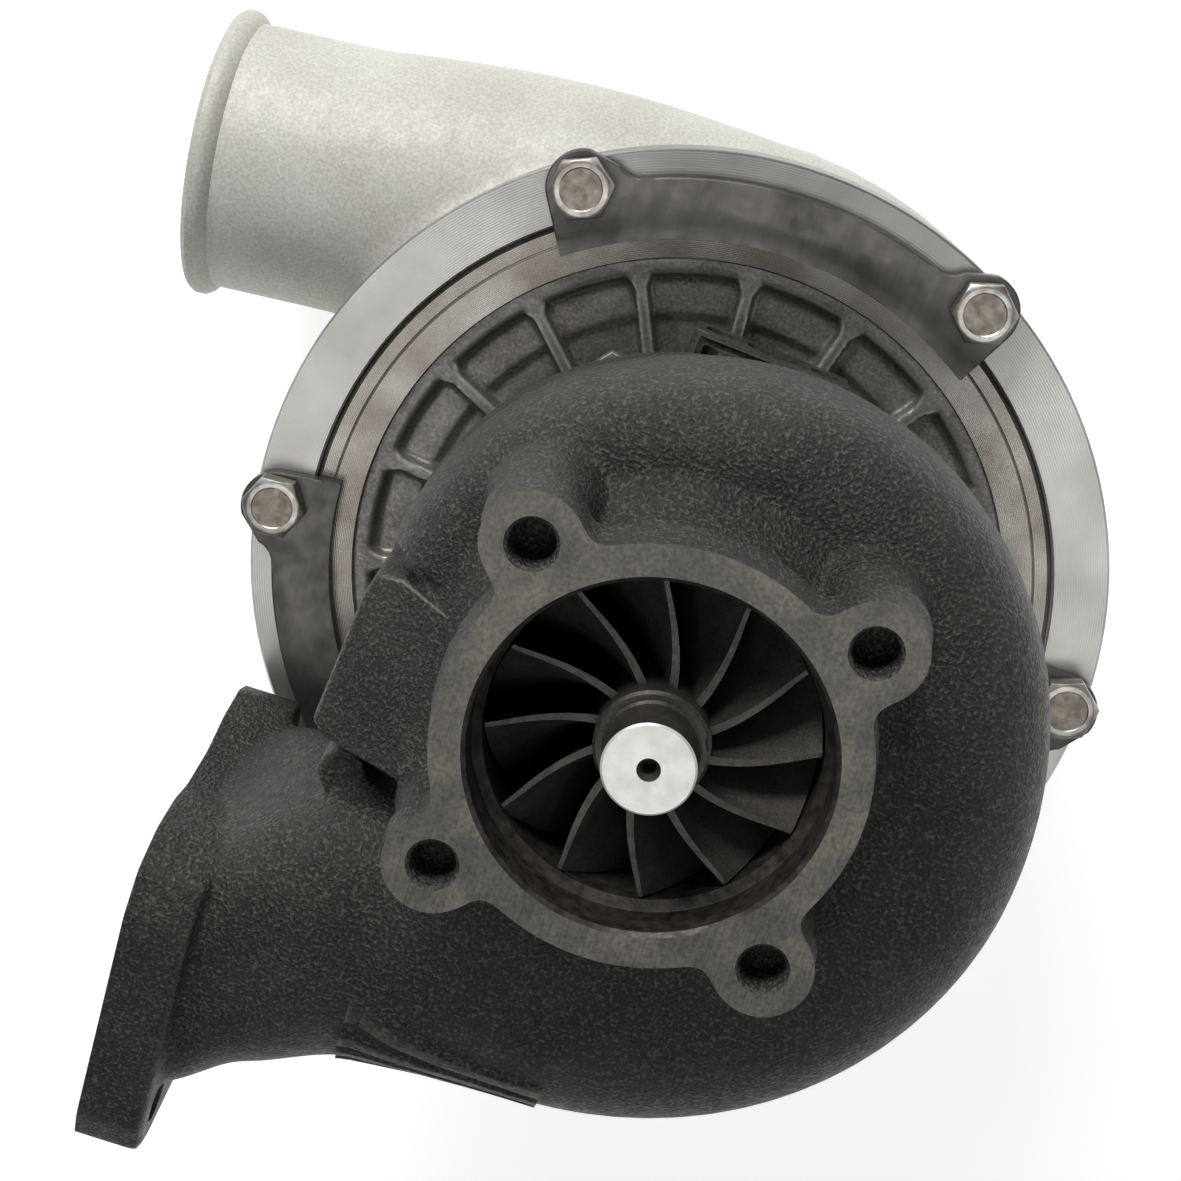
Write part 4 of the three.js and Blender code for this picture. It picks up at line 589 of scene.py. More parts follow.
# ================================================================== compressor cover
def cover_scroll(inset, steps=56):
    rings = []
    for i in range(steps + 1):
        share = i / steps
        angle = math.radians(lerp(SCROLL_START_ANGLE, SCROLL_END_ANGLE, share))
        half = lerp(SCROLL_START_HALF, SCROLL_HALF, share)
        outer = lerp(SCROLL_START_RADIUS, SCROLL_RADIUS + SCROLL_HALF, share)
        rings.append(oval(polar(outer - half, angle, SCROLL_TOP - half), polar(half - inset, angle),
                          Vector((0, 0, half - inset)), 2))
    return skin(rings)


def cover_duct(inset, past=0.0, steps=24):
    along = Vector((-math.cos(OUTLET_YAW), -math.sin(OUTLET_YAW), 0))
    across = Vector((along.y, -along.x, 0))
    start = Vector((0, SCROLL_RADIUS, SCROLL_TOP - SCROLL_HALF))
    rings = []
    for i in range(steps + 1):
        share = lerp(-0.03, 1, i / steps)
        swell = min(1, max(0, share / 0.75))
        half = lerp(SCROLL_HALF, OUTLET_RADIUS, swell)
        bulge = OUTLET_BULGE * math.sin(math.pi * swell)
        centre = start + along * (OUTLET_REACH * share + (past if i == steps else 0))
        rings.append(oval(centre, across * (half + bulge - inset), Vector((0, 0, half - inset)), 2, 64))
    return skin(rings)


def on_outlet(piece):
    """Turns a lathe shape about Z to stand on the outlet duct's end, with +Z out of the duct."""
    end = Vector((0, SCROLL_RADIUS, SCROLL_TOP - SCROLL_HALF)) + OUTLET_REACH * Vector(
        (-math.cos(OUTLET_YAW), -math.sin(OUTLET_YAW), 0))
    turn = Matrix.Rotation(OUTLET_YAW, 4, "Z") @ Matrix.Rotation(math.radians(-90), 4, "Y")
    return moved(piece, Matrix.Translation(end) @ turn)


def shroud(clearance, steps=20):
    """The line that the compressor blades' tips run along, from their outer edge to the inducer."""
    top = IMPELLER_BACK - 1.4 - IMPELLER_TIP_WIDTH
    points = []
    for i in range(steps + 1):
        turn = math.pi / 2 * i / steps
        points.append((INDUCER_RADIUS + clearance + (IMPELLER_RADIUS - INDUCER_RADIUS) * (1 - math.sin(turn)),
                       -INDUCER_DEPTH + (top - clearance + INDUCER_DEPTH) * math.cos(turn)))
    return points


def compressor_cover():
    outer = INLET_BORE + INLET_WALL
    core = lathe([(0, -2), (RIM_RADIUS - 1.2, -2), (RIM_RADIUS - 1.2, -RIM_THICKNESS),
                  (RIM_RADIUS - 8, -RIM_THICKNESS - 3), (SCROLL_RADIUS, -RIM_THICKNESS - 8),
                  (outer + 8, -INDUCER_DEPTH + 6), (outer + 5, -INDUCER_DEPTH - 14),
                  (outer, -INDUCER_DEPTH - 20), (outer, -INLET_DEPTH - 3), (0, -INLET_DEPTH - 3)])
    body = cast(gather(core, cover_scroll(0), cover_duct(0)), voxel=1.3, passes=8)
    rim = lathe([(PILOT_RADIUS - 6, -6), (PILOT_RADIUS - 6, 0), (RIM_RADIUS - 0.5, 0),
                 (RIM_RADIUS, -0.5), (RIM_RADIUS, -RIM_THICKNESS + 1.5), (RIM_RADIUS - 2, -RIM_THICKNESS)])
    bead = on_outlet(lathe([(OUTLET_RADIUS - 3, -BEAD_WIDTH - 2), (OUTLET_RADIUS, -BEAD_WIDTH - 1.2),
                            (BEAD_RADIUS - 0.7, -BEAD_WIDTH + 0.2), (BEAD_RADIUS, -BEAD_WIDTH + 1.4),
                            (BEAD_RADIUS, -1.4), (BEAD_RADIUS - 0.8, -0.3), (BEAD_RADIUS - 1.6, 0),
                            (OUTLET_RADIUS - 3, 0)]))
    fuse(body, rim, bead)
    air = lathe([(0, 4), (PILOT_RADIUS + 0.4, 4), (PILOT_RADIUS + 0.4, 0), (PILOT_RADIUS, -0.4),
                 (PILOT_RADIUS, -PILOT_DEPTH), (PILOT_RADIUS - PILOT_LEDGE, -PILOT_DEPTH),
                 (PILOT_RADIUS - PILOT_LEDGE, DIFFUSER_FLOOR)] + shroud(SHROUD_GAP)
                + [(INDUCER_RADIUS + SHROUD_GAP, -INDUCER_DEPTH - 8), (INLET_BORE - 1.2, -INDUCER_DEPTH - 17),
                   (INLET_BORE, -INDUCER_DEPTH - 20), (INLET_BORE, -INLET_DEPTH + 1),
                   (INLET_BORE + 1, -INLET_DEPTH), (INLET_BORE + 1, -INLET_DEPTH - 6), (0, -INLET_DEPTH - 6)])
    foot = cuboid((-60, -60, -INLET_DEPTH - 10), (60, 60, -INLET_DEPTH))
    cut(body, air, foot, cover_scroll(COVER_WALL), cover_duct(COVER_WALL, 2))

    def choose(centre, normal):
        radius = math.hypot(centre.x, centre.y)
        edge = abs(radius - RIM_RADIUS) < 0.06 and abs(normal.z) < 0.2 and centre.z > -RIM_THICKNESS
        on_rim = edge or (centre.z > -1.0 and radius > PILOT_RADIUS - 0.1)
        faced = normal.z < -0.99 and centre.z < -INLET_DEPTH + 0.1
        bored = radius < INLET_BORE + 1.2 and abs(normal.z) < 0.999
        return 1 if on_rim or faced or bored else 0

    return finish_piece(body, "cover_casting", "housing", [ALUMINIUM, TURNED], choose,
                        ["compressor_housing"])


# ================================================================== clamp plates
def plate_outline(steps=12):
    """The plate's edge, drawn about +X: an ear round each bolt, joined by a waist in easy curves."""
    points = []
    half = COVER_BOLT_SPREAD / 2
    ease = 5.5

    def arc(radius, start, end, count):
        for i in range(count + 1):
            points.append(polar(radius, lerp(start, end, i / count)).to_2d())

    def ear(angle, start, end):
        middle = polar(BOLT_CIRCLE, angle).to_2d()
        for i in range(steps + 1):
            points.append(middle + polar(PLATE_EAR, angle + lerp(start, end, i / steps)).to_2d())

    def blend(angle, side):
        """The hollow curve between an ear and the waist."""
        reach = math.sqrt((PLATE_EAR + ease) ** 2 - 3.0 ** 2) / BOLT_CIRCLE
        middle = polar(PLATE_WAIST + ease, angle + side * reach).to_2d()
        bolt = polar(BOLT_CIRCLE, angle).to_2d()
        first = math.atan2(*reversed(bolt - middle))
        last = angle + side * reach + math.pi
        turn = (last - first + math.pi) % math.tau - math.pi
        stops = [middle + polar(ease, first + turn * i / 8).to_2d() for i in range(9)]
        return stops if side > 0 else stops[::-1]

    bolt_side = math.radians(90)
    ear(-half, -bolt_side, math.radians(22))
    points.extend(blend(-half, 1))
    waist = half - (math.sqrt((PLATE_EAR + ease) ** 2 - 3.0 ** 2) / BOLT_CIRCLE)
    arc(PLATE_WAIST, -waist, waist, 28)
    points.extend(blend(half, -1))
    ear(half, math.radians(-22), bolt_side)
    corner = math.asin(PLATE_EAR / PLATE_INNER)
    arc(PLATE_INNER, half + corner, -half - corner, 44)
    return points


def bevelled(piece, width, segments=2):
    tool = piece.modifiers.new("bevel", "BEVEL")
    tool.width = width
    tool.segments = segments
    tool.limit_method = "ANGLE"
    tool.angle_limit = math.radians(40)
    return bake(piece)


def clamp_plate(node):
    low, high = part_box(node)
    angle = math.atan2(*reversed(((low + high) / 2 - ORIGIN).to_2d()))
    plate = bevelled(prism(plate_outline(), PLATE_BOTTOM, PLATE_BOTTOM + PLATE_THICKNESS), 0.45)
    relief = lathe([(PLATE_INNER - 5, 9), (PLATE_INNER - 5, PLATE_BOTTOM + PLATE_THICKNESS - 0.4),
                    (PLATE_INNER + 3.4, PLATE_BOTTOM + PLATE_THICKNESS - 0.4),
                    (PLATE_INNER + 5.2, PLATE_BOTTOM + PLATE_THICKNESS + 0.2), (PLATE_INNER + 5.2, 9)])
    wedge = math.radians(40)
    window = prism([(0, 0), *[polar(120, lerp(-wedge, wedge, i / 12)).to_2d() for i in range(13)]], 0, 12)
    combine(relief, window, "INTERSECT")
    cut(plate, relief)
    spun(plate, angle)
    return finish_piece(plate, node + "_pressing", "housing", [OXIDE], replaces=[node],
                        sharp=20)


def turbine_plate(node, side):
    """A half ring under the turbine housing."""
    points = []
    half = math.radians(87)
    for i in range(61):
        points.append(polar(TURBINE_PLATE_OUTER, lerp(-half, half, i / 60)).to_2d())
    for i in range(61):
        points.append(polar(TURBINE_PLATE_INNER, lerp(half, -half, i / 60)).to_2d())
    top = TURBINE_FACE - 0.3
    plate = bevelled(prism(points, top - TURBINE_PLATE_THICKNESS, top), 0.4)
    spun(plate, side)
    return finish_piece(plate, node + "_pressing", "housing", [OXIDE], replaces=[node],
                        sharp=20)


# ================================================================== fasteners
def hexagon(low, high, across=HEAD_ACROSS):
    """A hexagon bar between two heights, with its corners turned off at the top."""
    corner = across / 2 / math.cos(math.pi / 6)
    shape = prism([polar(corner, math.tau * i / 6).to_2d() for i in range(6)], low, high)
    dome = lathe([(0, low - 1), (corner + 0.6, low - 1), (corner + 0.6, high - 1.1),
                  (across / 2 - 0.35, high - 0.05), (across / 2 - 0.8, high), (0, high)], 72)
    return combine(shape, dome, "INTERSECT")


def bolt_mesh(shank):
    """An M8 bolt with its bearing face at height 0: a chamfered head, a washer face and its shank."""
    head = hexagon(0.35, HEAD_HEIGHT)
    washer = bar(WASHER_RADIUS, 0, 0.8, facets=48)
    stem = bar(SHANK_RADIUS, -shank, 1)
    dish = lathe([(0, DISH_LEVEL), (DISH_RADIUS, DISH_LEVEL), (5.0, 5.4), (5.0, 6), (0, 6)], 48)
    return bevelled(cut(fuse(head, washer, stem), dish), 0.12, 1)


def bolts(prefix, count, shank, upward, clocking):
    for i in range(count):
        node = f"{prefix}_{i + 1}"
        low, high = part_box(node)
        x, y, _ = node_centre(node)
        seat = ((high.z if upward else low.z) - ORIGIN.z) / MM + (-HEAD_HEIGHT if upward else HEAD_HEIGHT)
        flip = Matrix.Identity(4) if upward else Matrix.Rotation(math.pi, 4, "X")
        turn = Matrix.Rotation(math.radians(clocking[i % len(clocking)]), 4, "Z")
        piece = moved(bolt_mesh(shank), Matrix.Translation((x, y, seat)) @ turn @ flip)

        def dished(centre, normal, seat=seat):
            return 1 if abs(normal.z) > 0.9 and 5.0 < abs(centre.z - seat) < 5.2 else 0

        finish_piece(piece, node + "_head", "housing", [BRIGHT, DISHED], dished, [node], 25)


# ================================================================== backplate
def backplate():
    floor, inner_floor, ledge = -4.9, -6.3, -1.7
    base = lathe([(12, BACKPLATE_BOTTOM), (BACKPLATE_RIM - 2, BACKPLATE_BOTTOM),
                  (BACKPLATE_RIM - 2, -2.4), (LAND_INNER + 1, -2.4), (LAND_INNER + 1, ledge),
                  (POCKET_OUTER + 0.6, ledge), (POCKET_OUTER, ledge - 0.6), (POCKET_OUTER - 1.2, floor),
                  (POCKET_STEP + 1, floor), (POCKET_STEP - 1, inner_floor),
                  (POCKET_INNER + 1, inner_floor), (POCKET_INNER - 0.5, -0.6), (12, -0.6)])
    ribs = []
    for i in range(RIB_COUNT):
        angle = RIB_START + math.tau * i / RIB_COUNT
        foot, top = RIB_WIDTH / 2 + 1.1, RIB_WIDTH / 2
        rings = [[Vector((r, -foot - flare, -7)), Vector((r, foot + flare, -7)),
                  Vector((r, top + flare, ledge - 0.1)), Vector((r, -top - flare, ledge - 0.1))]
                 for r, flare in ((POCKET_INNER - 2, 1.2), (POCKET_INNER + 2.5, 0), (POCKET_OUTER - 3, 0),
                                  (POCKET_OUTER - 0.8, 1.1), (POCKET_OUTER + 2, 2.6))]
        ribs.append(spun(skin(rings), angle))
    body = cast(gather(base, *ribs), voxel=0.62, passes=4)
    rim = BACKPLATE_RIM
    land = lathe([(LAND_INNER, -4), (LAND_INNER, BACKPLATE_TOP - 0.35), (LAND_INNER + 0.35, BACKPLATE_TOP),
                  (LAND_STEP, BACKPLATE_TOP), (LAND_STEP + 0.7, BACKPLATE_TOP - 0.7),
                  (rim - 0.9, BACKPLATE_TOP - 0.7), (rim, BACKPLATE_TOP - 1.5), (rim, -2.9),
                  (rim - 2.7, -2.9), (rim - 2.7, -5.7), (rim, -5.7), (rim, BACKPLATE_BOTTOM),
                  (rim - 6, BACKPLATE_BOTTOM)])
    back = lathe([(5, BACKPLATE_BOTTOM - 3), (rim + 3, BACKPLATE_BOTTOM - 3), (rim + 3, BACKPLATE_BOTTOM),
                  (5, BACKPLATE_BOTTOM)])
    fuse(body, land)
    cut(body, back, bar(9.7, -12, 4, facets=96))

    def choose(centre, normal):
        radius = math.hypot(centre.x, centre.y)
        return 1 if radius > LAND_INNER - 0.01 or centre.z < BACKPLATE_BOTTOM + 0.05 else 0

    return finish_piece(body, "backplate_casting", "housing", [BACKPLATE, LAND], choose,
                        ["backplate"])


# ================================================================== turbine housing
def volute_radius(angle):
    """The volute's outer radius at an angle in degrees, eased between the outline's points."""
    for (low, start), (high, end) in zip(VOLUTE_OUTLINE, VOLUTE_OUTLINE[1:]):
        if angle <= high:
            return lerp(start, end, (angle - low) / (high - low))
    return VOLUTE_OUTLINE[-1][1]


def eased_radius(angle):
    """The outline averaged over a few degrees, so that its corners don't show."""
    reach = [-12, -8, -4, 0, 4, 8, 12]
    return sum(volute_radius(max(VOLUTE_START, angle + step)) for step in reach) / len(reach)


def volute(inset, end, steps=64):
    rings = []
    for i in range(steps + 1):
        share = i / steps
        angle = lerp(VOLUTE_START, end, share)
        inner = VOLUTE_GAS if inset else VOLUTE_ROOT
        outer = eased_radius(angle) - inset
        half = lerp(VOLUTE_HALF, VOLUTE_END_HALF, share) - inset - (1 + share * 6 if inset else 0)
        turn = math.radians(angle)
        rings.append(oval(polar((inner + outer) / 2, turn, VOLUTE_LEVEL), polar((outer - inner) / 2, turn),
                          Vector((0, 0, half)), 2.4))
    return skin(rings)


def duct_station(share, inset, widths, past=0.0):
    """One section of the inlet duct. widths are (share, half width, half height, squareness) rows."""
    for low, high in zip(widths, widths[1:]):
        if share <= high[0]:
            place = (share - low[0]) / (high[0] - low[0])
            place = place * place * (3 - 2 * place)
            half_width, half_height, square = (lerp(a, b, place) for a, b in zip(low[1:], high[1:]))
            break
    inner = VOLUTE_GAS if inset else VOLUTE_ROOT
    start = (-(inner + eased_radius(VOLUTE_START) - inset) / 2, VOLUTE_LEVEL)
    ease = 1 - max(0, 1 - share) ** 2.6
    roll = FLANGE_ROLL * (1 - share)
    face = -FLANGE_REACH + (0 if inset else FLANGE_THICKNESS / 2)
    centre = Vector((lerp(face, 0, share) - past, lerp(FLANGE_CENTRE[0], start[0], ease),
                     lerp(FLANGE_CENTRE[1], start[1], ease)))
    across = Vector((0, -half_width * math.cos(roll), -half_width * math.sin(roll)))
    along = Vector((0, -half_height * math.sin(roll), half_height * math.cos(roll)))
    return oval(centre, across, along, square)


def duct(inset, widths, past=0.0, steps=36):
    shares = [1.03 * i / steps for i in range(steps + 1)]
    return skin([duct_station(share, inset, widths, past if i == 0 else 0) for i, share in enumerate(shares)])


def duct_outer(extra=0.0):
    end = (eased_radius(VOLUTE_START) - VOLUTE_ROOT) / 2 + extra
    return duct(0, [(0, FLANGE_WIDTH / 2 - 4, FLANGE_LENGTH / 2 - 4, 5),
                    (0.1, FLANGE_WIDTH / 2 - 5 + extra, FLANGE_LENGTH / 2 - 8, 4),
                    (0.28, 33 + extra, 33 + extra, 3), (0.55, 33 + extra, VOLUTE_HALF - 1 + extra, 2.6),
                    (1.03, end, VOLUTE_HALF + extra, 2.4)])


def duct_gas():
    end = (eased_radius(VOLUTE_START) - VOLUTE_WALL - VOLUTE_GAS) / 2
    height = VOLUTE_HALF - VOLUTE_WALL - 1
    return duct(VOLUTE_WALL, [(0, PORT_WIDTH / 2, PORT_LENGTH / 2, 5),
                              (0.3, (PORT_WIDTH / 2 + end) / 2, 26, 4),
                              (0.6, end, height, 3), (1.03, end, height, 2.4)], past=2)


def on_inlet_flange(piece):
    """Turns a shape drawn flat, x across the flange and y along it, to face out of the inlet."""
    turn = (Matrix.Rotation(FLANGE_ROLL, 4, "X") @ Matrix.Rotation(math.radians(-90), 4, "X")
            @ Matrix.Rotation(math.radians(-90), 4, "Y"))
    return moved(piece, Matrix.Translation((-FLANGE_REACH, *FLANGE_CENTRE)) @ turn)


def inlet_flange_outline():
    """The flange from its +Y edge: corners cut back at the bolts, and a slight waist between them."""
    w, h = FLANGE_WIDTH / 2, FLANGE_LENGTH / 2
    right = [(w - 13, -h), (w - 4, -h + 4), (w, -h + 14), (w - 0.3, -h + 27), (w - 3.2, -h + 38),
             (w - 3.4, h - 38), (w - 0.3, h - 27), (w, h - 14), (w - 4, h - 4), (w - 13, h)]
    # On the flange as drawn, +y points down the object, so the duct's side keeps its plain edge.
    left = [(-w + 11, h), (-w + 3, h - 3), (-w, h - 11), (-w, -h + 11), (-w + 3, -h + 3), (-w + 11, -h)]
    return right + left


def flange_edge(angle):
    """Radius of the outlet flange's edge: a ring and its ears, run together in hollow curves."""
    blend = 5.0

    def outside(radius):
        point = polar(radius, angle).to_2d()
        ring = radius - OUTLET_RING
        ear = min((point - polar(OUTLET_BOLT_CIRCLE, math.radians(45 + 90 * i)).to_2d()).length
                  for i in range(4)) - OUTLET_EAR
        mix = min(1, max(0, 0.5 + 0.5 * (ear - ring) / blend))
        return lerp(ear, ring, mix) - blend * mix * (1 - mix)

    low, high = OUTLET_RING - 3, OUTLET_BOLT_CIRCLE + OUTLET_EAR + 3
    for _ in range(24):
        middle = (low + high) / 2
        low, high = (low, middle) if outside(middle) > 0 else (middle, high)
    return low


def outlet_flange(low, high, grow_low=0.0):
    rings = []
    for z, grow in ((low, grow_low), (lerp(low, high, 0.45), 0), (high, 0)):
        turns = [math.tau * i / 360 for i in range(360)]
        rings.append([polar(flange_edge(turn) + grow, turn, z) for turn in turns])
    return skin(rings)


def tip_wall(clearance, steps=12):
    """The wall that the turbine blades' tips run along."""
    top = TURBINE_BACK + TURBINE_DISC + TURBINE_TIP_WIDTH
    points = []
    for i in range(steps + 1):
        flow = i / steps
        points.append((TURBINE_RADIUS + clearance
                       + (EXDUCER_RADIUS - TURBINE_RADIUS) * math.sin(flow * math.pi / 2),
                       lerp(top, EXDUCER_LEVEL, flow)))
    return points


def tapped_hole(radius, depth, mouth):
    """The cutter for a tapped hole going down from height 0: a countersink, then thread rings."""
    pitch = 1.5
    points = [(0, 2), (mouth, 2), (mouth, 0.05), (radius + 0.15, -0.75)]
    z = -0.75
    while z > -depth + pitch:
        points += [(radius + 0.62, z - pitch / 2), (radius, z - pitch)]
        z -= pitch
    return lathe(points + [(0, z - 2.5)], HOLE_ROUND)


def duct_ribs():
    """Plain raised ribs along the duct's side, in the place of the casting's lettering."""
    slabs = [cuboid((-40, -120, 92 - drop), (12, -60, 93.5 - drop)) for drop in (0, 3.4, 6.8, 10.2)]
    return combine(duct_outer(0.75), gather(*slabs), "INTERSECT")


def boss_block(proud):
    """The unmachined boss. Its top slopes up towards the outlet; proud lifts it off the casting."""
    outline = [(-64, -27), (-61, -29), (-33, -29), (-33, 4), (-54, 8.5), (-59.5, 7), (-61, 2)]
    block = prism(outline, 50, BOSS_TOP + proud)
    for corner in block.data.vertices:
        if corner.co.z > BOSS_TOP - 1:
            corner.co.z += (corner.co.x - outline[0][0]) * BOSS_SLOPE
    return block


def turbine_housing():
    under = OUTLET_FACE - 12
    crest = VOLUTE_LEVEL + VOLUTE_HALF
    boss = 61
    core = lathe([(0, TURBINE_FACE - 3), (boss, TURBINE_FACE - 3), (boss, PILOT_LEVEL), (56, PILOT_LEVEL + 7),
                  (56, NOZZLE_ROOF + 5), (NECK_RADIUS + 11, crest - 6), (NECK_RADIUS + 3.5, crest + 2),
                  (NECK_RADIUS, under - 4), (NECK_RADIUS, OUTLET_FACE - 4), (0, OUTLET_FACE - 4)])
    columns = [lathe([(0, 92), (12.5, 92), (9.2, under - 5), (OUTLET_EAR - 0.4, under + 2),
                      (OUTLET_EAR - 0.4, under + 6), (0, under + 6)], 48) for _ in range(4)]
    for i, column in enumerate(columns):
        shifted(column, polar(OUTLET_BOLT_CIRCLE - 0.5, math.radians(45 + 90 * i)))
    flange = on_inlet_flange(prism(inlet_flange_outline(), -FLANGE_THICKNESS, 3))
    pad = boss_block(0)
    gussets = [bar(radius, 60, z, x, y)
               for x, y, z, radius in ((-56, -38, 79, 5), (-49, -43, 80, 5), (-41, -49, 81, 5))]
    body = cast(gather(core, volute(0, VOLUTE_END), duct_outer(), flange, pad, *columns,
                       outlet_flange(under, OUTLET_FACE + 3, 1.5), *gussets), voxel=1.05, passes=7)
    fuse(body, bevelled(boss_block(0.35), 0.9, 3), duct_ribs())
    gas = lathe([(0, TURBINE_FACE - 8), (CENTRE_SOCKET, TURBINE_FACE - 8), (CENTRE_SOCKET, PILOT_LEVEL),
                 (SHIELD_SOCKET, PILOT_LEVEL), (SHIELD_SOCKET, NOZZLE_FLOOR),
                 (NOZZLE_RADIUS, NOZZLE_FLOOR), (NOZZLE_RADIUS, NOZZLE_ROOF)] + tip_wall(SHROUD_GAP)
                + [(OUTLET_BORE, EXDUCER_LEVEL + 2), (OUTLET_BORE, OUTLET_FACE - 0.8),
                   (OUTLET_BORE + 0.9, OUTLET_FACE + 0.1), (OUTLET_BORE + 0.9, OUTLET_FACE + 9),
                   (0, OUTLET_FACE + 9)])
    above = cuboid((-90, -90, OUTLET_FACE), (90, 90, OUTLET_FACE + 12))
    below = cuboid((-90, -90, TURBINE_FACE - 12), (90, 90, TURBINE_FACE))
    before = cuboid((-FLANGE_REACH - 12, -160, -30), (-FLANGE_REACH, 0, 130))
    cut(body, above, combine(below, lathe([(0, 25), (64, 25), (64, 60), (0, 60)]), "INTERSECT"), before)
    cut(body, gas, volute(VOLUTE_WALL, VOLUTE_END - 12), duct_gas())
    for i in range(4):
        x, y, _ = polar(OUTLET_BOLT_CIRCLE, math.radians(45 + 90 * i))
        cut(body, shifted(tapped_hole(OUTLET_HOLE, 11, OUTLET_HOLE + 0.85), (x, y, OUTLET_FACE)))
    for a in (-1, 1):
        for b in (-1, 1):
            x, y = a * FLANGE_BOLTS[0] / 2, b * FLANGE_BOLTS[1] / 2
            hole = bar(FLANGE_HOLE, -FLANGE_THICKNESS - 4, 2, x, y)
            cut(body, on_inlet_flange(hole))

    def choose(centre, normal):
        radius = math.hypot(centre.x, centre.y)
        if normal.z > 0.995 and centre.z > OUTLET_FACE - 0.02:
            return 1
        if normal.x < -0.995 and centre.x < -FLANGE_REACH + 0.02:
            return 1
        if normal.z < -0.995 and centre.z < TURBINE_FACE + 0.02:
            return 1
        return 2 if radius < OUTLET_BORE + 1.1 and centre.z > NOZZLE_ROOF else 0

    return finish_piece(body, "turbine_casting", "housing",
                        [IRON, MILLED_IRON, BORE_IRON], choose, ["turbine_housing"], sharp=38)


# ================================================================== wheels
def blade(surface, thickness, along_steps=22, across_steps=10):
    """A thin curved blade. surface(along, across) gives radius, height and angle on its middle sheet."""
    bm = bmesh.new()

    def sheet(side):
        rows = []
        for i in range(along_steps + 1):
            row = []
            for j in range(across_steps + 1):
                radius, z, angle = surface(i / along_steps, j / across_steps)
                shift = side * thickness * (1 - 0.5 * j / across_steps) / 2 / radius
                row.append(bm.verts.new(polar(radius, angle + shift, z)))
            rows.append(row)
        return rows

    left, right = sheet(-1), sheet(1)
    for rows in (left, right):
        for low, high in zip(rows, rows[1:]):
            for j in range(across_steps):
                bm.faces.new((low[j], low[j + 1], high[j + 1], high[j]))
    edge = ([(0, j) for j in range(across_steps)] + [(i, across_steps) for i in range(along_steps)]
            + [(along_steps, j) for j in range(across_steps, 0, -1)]
            + [(i, 0) for i in range(along_steps, 0, -1)])
    for (i, j), (k, m) in zip(edge, edge[1:] + edge[:1]):
        bm.faces.new((left[i][j], left[k][m], right[k][m], right[i][j]))
    return as_object(bm)


def turbine_hub(share):
    base = TURBINE_BACK + TURBINE_DISC
    turn = math.pi / 2 * share
    return (COLLAR_RADIUS + (TURBINE_RADIUS - 1.5 - COLLAR_RADIUS) * (1 - math.sin(turn)) ** 1.3,
            base + (EXDUCER_LEVEL - base) * (1 - math.cos(turn)))


def turbine_tip(share):
    inlet = 0.2
    base = TURBINE_BACK + TURBINE_DISC
    if share < inlet:
        return TURBINE_RADIUS, base + TURBINE_TIP_WIDTH * share / inlet
    flow = (share - inlet) / (1 - inlet)
    return (TURBINE_RADIUS + (EXDUCER_RADIUS - TURBINE_RADIUS) * math.sin(flow * math.pi / 2),
            lerp(base + TURBINE_TIP_WIDTH, EXDUCER_LEVEL, flow))


def turbine_wheel():
    def surface(along, across):
        hub_radius, hub_level = turbine_hub(along)
        tip_radius, tip_level = turbine_tip(along)
        lead = TURBINE_SWEEP * (1 - along ** TURBINE_SWEEP_CURVE) - 17 * (1 - across) ** 1.25 * along ** 1.5
        return (lerp(hub_radius - 1.2, tip_radius, across),
                lerp(hub_level - (1 - along), tip_level, across), TURBINE_ANGLE + math.radians(lead))

    wheel = lathe([(0, TURBINE_BACK), (TURBINE_RADIUS - 1.5, TURBINE_BACK)]
                  + [turbine_hub(i / 24) for i in range(25)]
                  + [(COLLAR_RADIUS, COLLAR_LEVEL - 0.6), (COLLAR_RADIUS - 0.6, COLLAR_LEVEL),
                     (NOSE_RADIUS + 0.5, COLLAR_LEVEL), (NOSE_RADIUS, COLLAR_LEVEL + 0.5),
                     (NOSE_RADIUS, NOSE_LEVEL - 0.4), (NOSE_RADIUS - 0.4, NOSE_LEVEL),
                     (2.2, NOSE_LEVEL), (1.3, NOSE_LEVEL - 1.6), (1.3, NOSE_LEVEL - 6),
                     (0, NOSE_LEVEL - 7)], 96)
    for i in range(TURBINE_BLADES):
        fuse(wheel, spun(blade(surface, TURBINE_BLADE_THICKNESS), math.tau * i / TURBINE_BLADES))
    for turn, depth in ((23, 1.1), (9, 0.7)):
        grind = lathe([(0, -3.2), (4, -3.2), (4, 3.2), (0, 3.2)], 48)
        shifted(grind, polar(COLLAR_RADIUS + 4 - depth, math.radians(turn), COLLAR_LEVEL - 0.4))
        cut(wheel, grind)

    def choose(centre, normal):
        radius = math.hypot(centre.x, centre.y)
        if centre.z > NOSE_LEVEL - 0.45 and radius > 2.1:
            return 1
        turn = math.degrees(math.atan2(centre.y, centre.x))
        ground = 110 < centre.z < COLLAR_LEVEL and radius < COLLAR_RADIUS - 0.05 and 0 < turn < 36
        return 2 if ground and abs(normal.z) < 0.5 and radius > 9 else 0

    return finish_piece(wheel, "turbine_wheel_casting", "rotor",
                        [WHEEL, NOSE_FACE, GROUND_STEEL], choose, ["turbine_wheel"], sharp=40)


def compressor_hub(share):
    turn = math.pi / 2 * share
    top = IMPELLER_BACK - 1.4
    return (IMPELLER_HUB + (IMPELLER_RADIUS - IMPELLER_HUB) * (1 - math.sin(turn)) ** 1.2,
            top + (-INDUCER_DEPTH - top) * (1 - math.cos(turn)))


